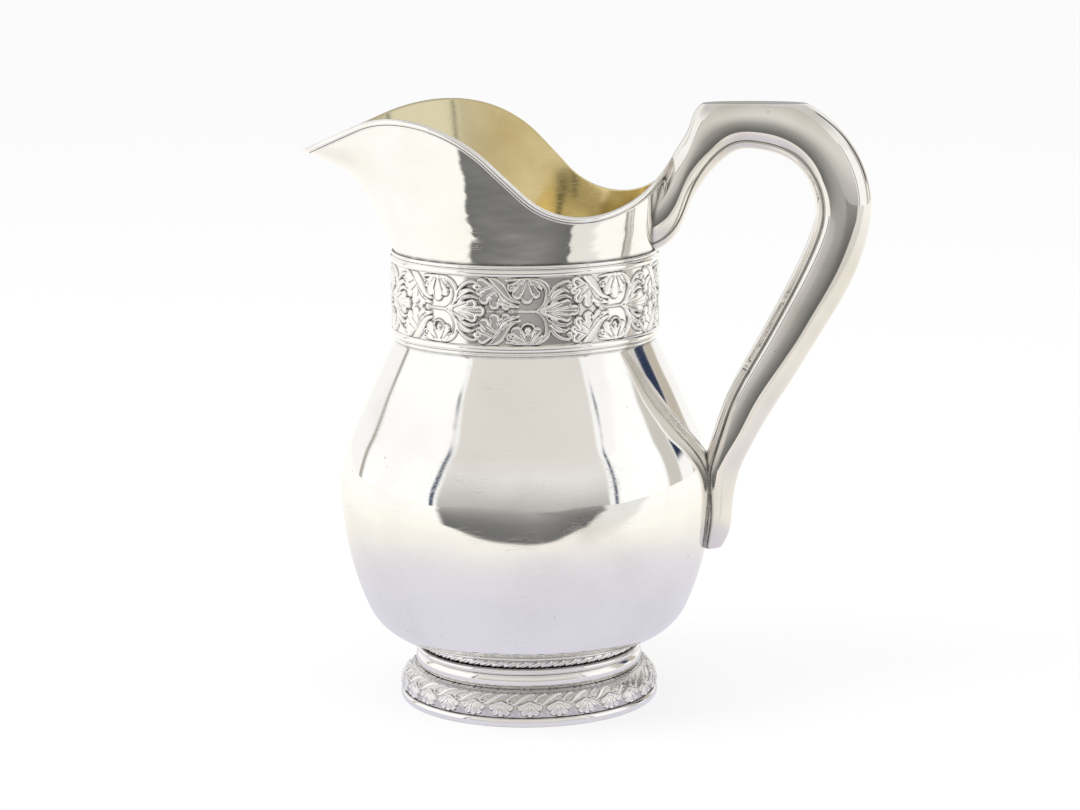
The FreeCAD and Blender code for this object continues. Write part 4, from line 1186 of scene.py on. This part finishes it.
def make_mirrored_floor():
    """The floor as metal mirrors it: a sheet with painted shade near the jug, darker and cool there,
    and painted light further out, brighter and warm, that ends on a straight front edge, and a grey
    floor beyond it that pales with distance."""
    radius = np.concatenate([np.linspace(0.0, 0.2, 40), np.linspace(0.203, 0.7, 170),
                             np.geomspace(0.71, 2.5, 50)])[:, None]
    turn = np.radians(np.linspace(-180, 180, STAGE_COLUMNS, endpoint=False))[None, :]
    across = radius * np.sin(turn)
    front = radius * np.cos(turn)
    lean = np.degrees(np.arctan2(across, np.maximum(front, 1e-6)))
    left_end = np.interp(front, END_PLACES, LEFT_ENDS)
    right_end = np.interp(front, END_PLACES, RIGHT_ENDS)
    # painted shade near the jug and painted light further out, as tones of the mirrored sheet
    tone = by_steps(radius + np.zeros_like(turn), SHEET_PLACES, SHEET_TONES)
    beside = between(lean, right_end - 4, right_end + 38, 10) * smooth_step((front - 0.17) / 0.07)
    tone = tone * (1 - 0.22 * beside)[..., None]
    beyond = by_steps(front, BEYOND_PLACES, BEYOND_TONES)
    beyond = beyond * (1 - 0.28 * smooth_step((across - 0.05) / 0.25))[..., None]
    past_edge = smooth_step((front - SHEET_FRONT - 0.03 * across) / 0.012)
    tone = laid(tone, between(lean, left_end, right_end, 5) * past_edge, beyond)
    around = turn - np.pi / 2 + np.radians(CAMERA_SIDE)
    mirrored_stage("mirrored_floor", round_axis(radius, around, MIRRORED_FLOOR_LEVEL), tone)


def end_by_rays(tree, kind, plain, seen, share):
    """Ends a tree with one shader, and a share of a second one for rays that come from the
    camera, a mirror or glass."""
    path = add_node(tree, "ShaderNodeLightPath").outputs
    direct = math_node(tree, "MAXIMUM", path["Is Camera Ray"], path["Is Glossy Ray"])
    direct = math_node(tree, "MAXIMUM", direct, path["Is Transmission Ray"])
    pick = add_node(tree, "ShaderNodeMixShader",
                    {0: math_node(tree, "MULTIPLY", direct, share), 1: plain, 2: seen})
    add_node(tree, kind, {0: pick.outputs[0]})
    lay_out(tree)


def make_floor():
    """A wide pale square, white to the camera, with the jug's soft shadow on it."""
    side = np.linspace(-12, 12, 25)
    x, y = np.meshgrid(side, side)
    points = np.stack([x, y, np.zeros_like(x)], axis=-1)
    mesh = new_mesh("floor", points.reshape(-1, 3), grid_faces(25, 25, False, False))
    finish, tree = new_finish("floor_white")
    shade = add_node(tree, "ShaderNodeBsdfDiffuse", {"Color": (0.9, 0.9, 0.9, 1)})
    white = add_node(tree, "ShaderNodeEmission")
    end_by_rays(tree, "ShaderNodeOutputMaterial", shade.outputs[0], white.outputs[0], 0.72)
    mesh.materials.append(finish)
    put_in_scene("floor", mesh)


def make_world():
    """White to the camera and to reflections, and a plain even light on everything else."""
    world = bpy.data.worlds.new("studio")
    bpy.context.scene.world = world
    world.use_nodes = True
    tree = world.node_tree
    tree.nodes.clear()
    fill, white = (add_node(tree, "ShaderNodeBackground", {"Color": (1, 1, 1, 1), "Strength": level})
                   for level in (0.95, 1.0))
    end_by_rays(tree, "ShaderNodeOutputWorld", fill.outputs[0], white.outputs[0], 1.0)


polish = polish_group()
oxide = oxide_group()
SILVER = (0.945, 0.935, 0.915)
SILVER_CLOUD = (0.85, 0.83, 0.805)
# metal, cloud, gloss, scratches, ragged, clouding, oxide, bump and spout-side tone
LOOKS = {
    "body_silver": (SILVER, SILVER_CLOUD, 0.045, 0.8, 0.03, 0.65, 0.9, 0.0009),
    "neck_silver": (SILVER, SILVER_CLOUD, 0.045, 0.35, 0.2, 0.5, 0.9, 0.0017),
    "handle_silver": ((0.86, 0.835, 0.8), (0.62, 0.575, 0.51), 0.035, 0.25, 0.0, 0.6, 0.9, 0.0004),
    "trim_silver": ((0.95, 0.94, 0.92), SILVER_CLOUD, 0.09, 0.6, 0.0, 0.4, 1.0, 0.0004),
    "foot_silver": ((0.93, 0.915, 0.89), SILVER_CLOUD, 0.08, 0.6, 0.0, 0.4, 0.8, 0.0004),
    # the gilt's spout-side tone is darker and duller, mixed in towards the spout
    "gilt_inside": ((0.84, 0.71, 0.39), (0.5, 0.36, 0.14), 0.12, 1.0, 0.05, 0.6, 0.0, 0.0009,
                    (0.6, 0.55, 0.39)),
}
finishes = {name: metal_finish(name, polish, oxide, *look) for name, look in LOOKS.items()}

make_bowl([finishes["body_silver"], finishes["gilt_inside"]])
make_neck([finishes["neck_silver"], finishes["gilt_inside"]])
make_rim_wire(finishes["trim_silver"])
make_band(finishes["trim_silver"])
make_mouldings(finishes["trim_silver"])
make_leaf_wire(finishes["foot_silver"])
make_plain_rings(finishes["foot_silver"])
make_border(finishes["foot_silver"])
make_handle(finishes["handle_silver"])

make_tent()
make_mirrored_floor()
make_floor()
make_world()
make_lamp("key", (-0.9, -0.5, 1.3), 0.9, 9.0)
make_lamp("fill", (1.0, -0.8, 0.9), 0.9, 4.0)
make_camera()
bpy.context.scene.view_settings.view_transform = "Standard"
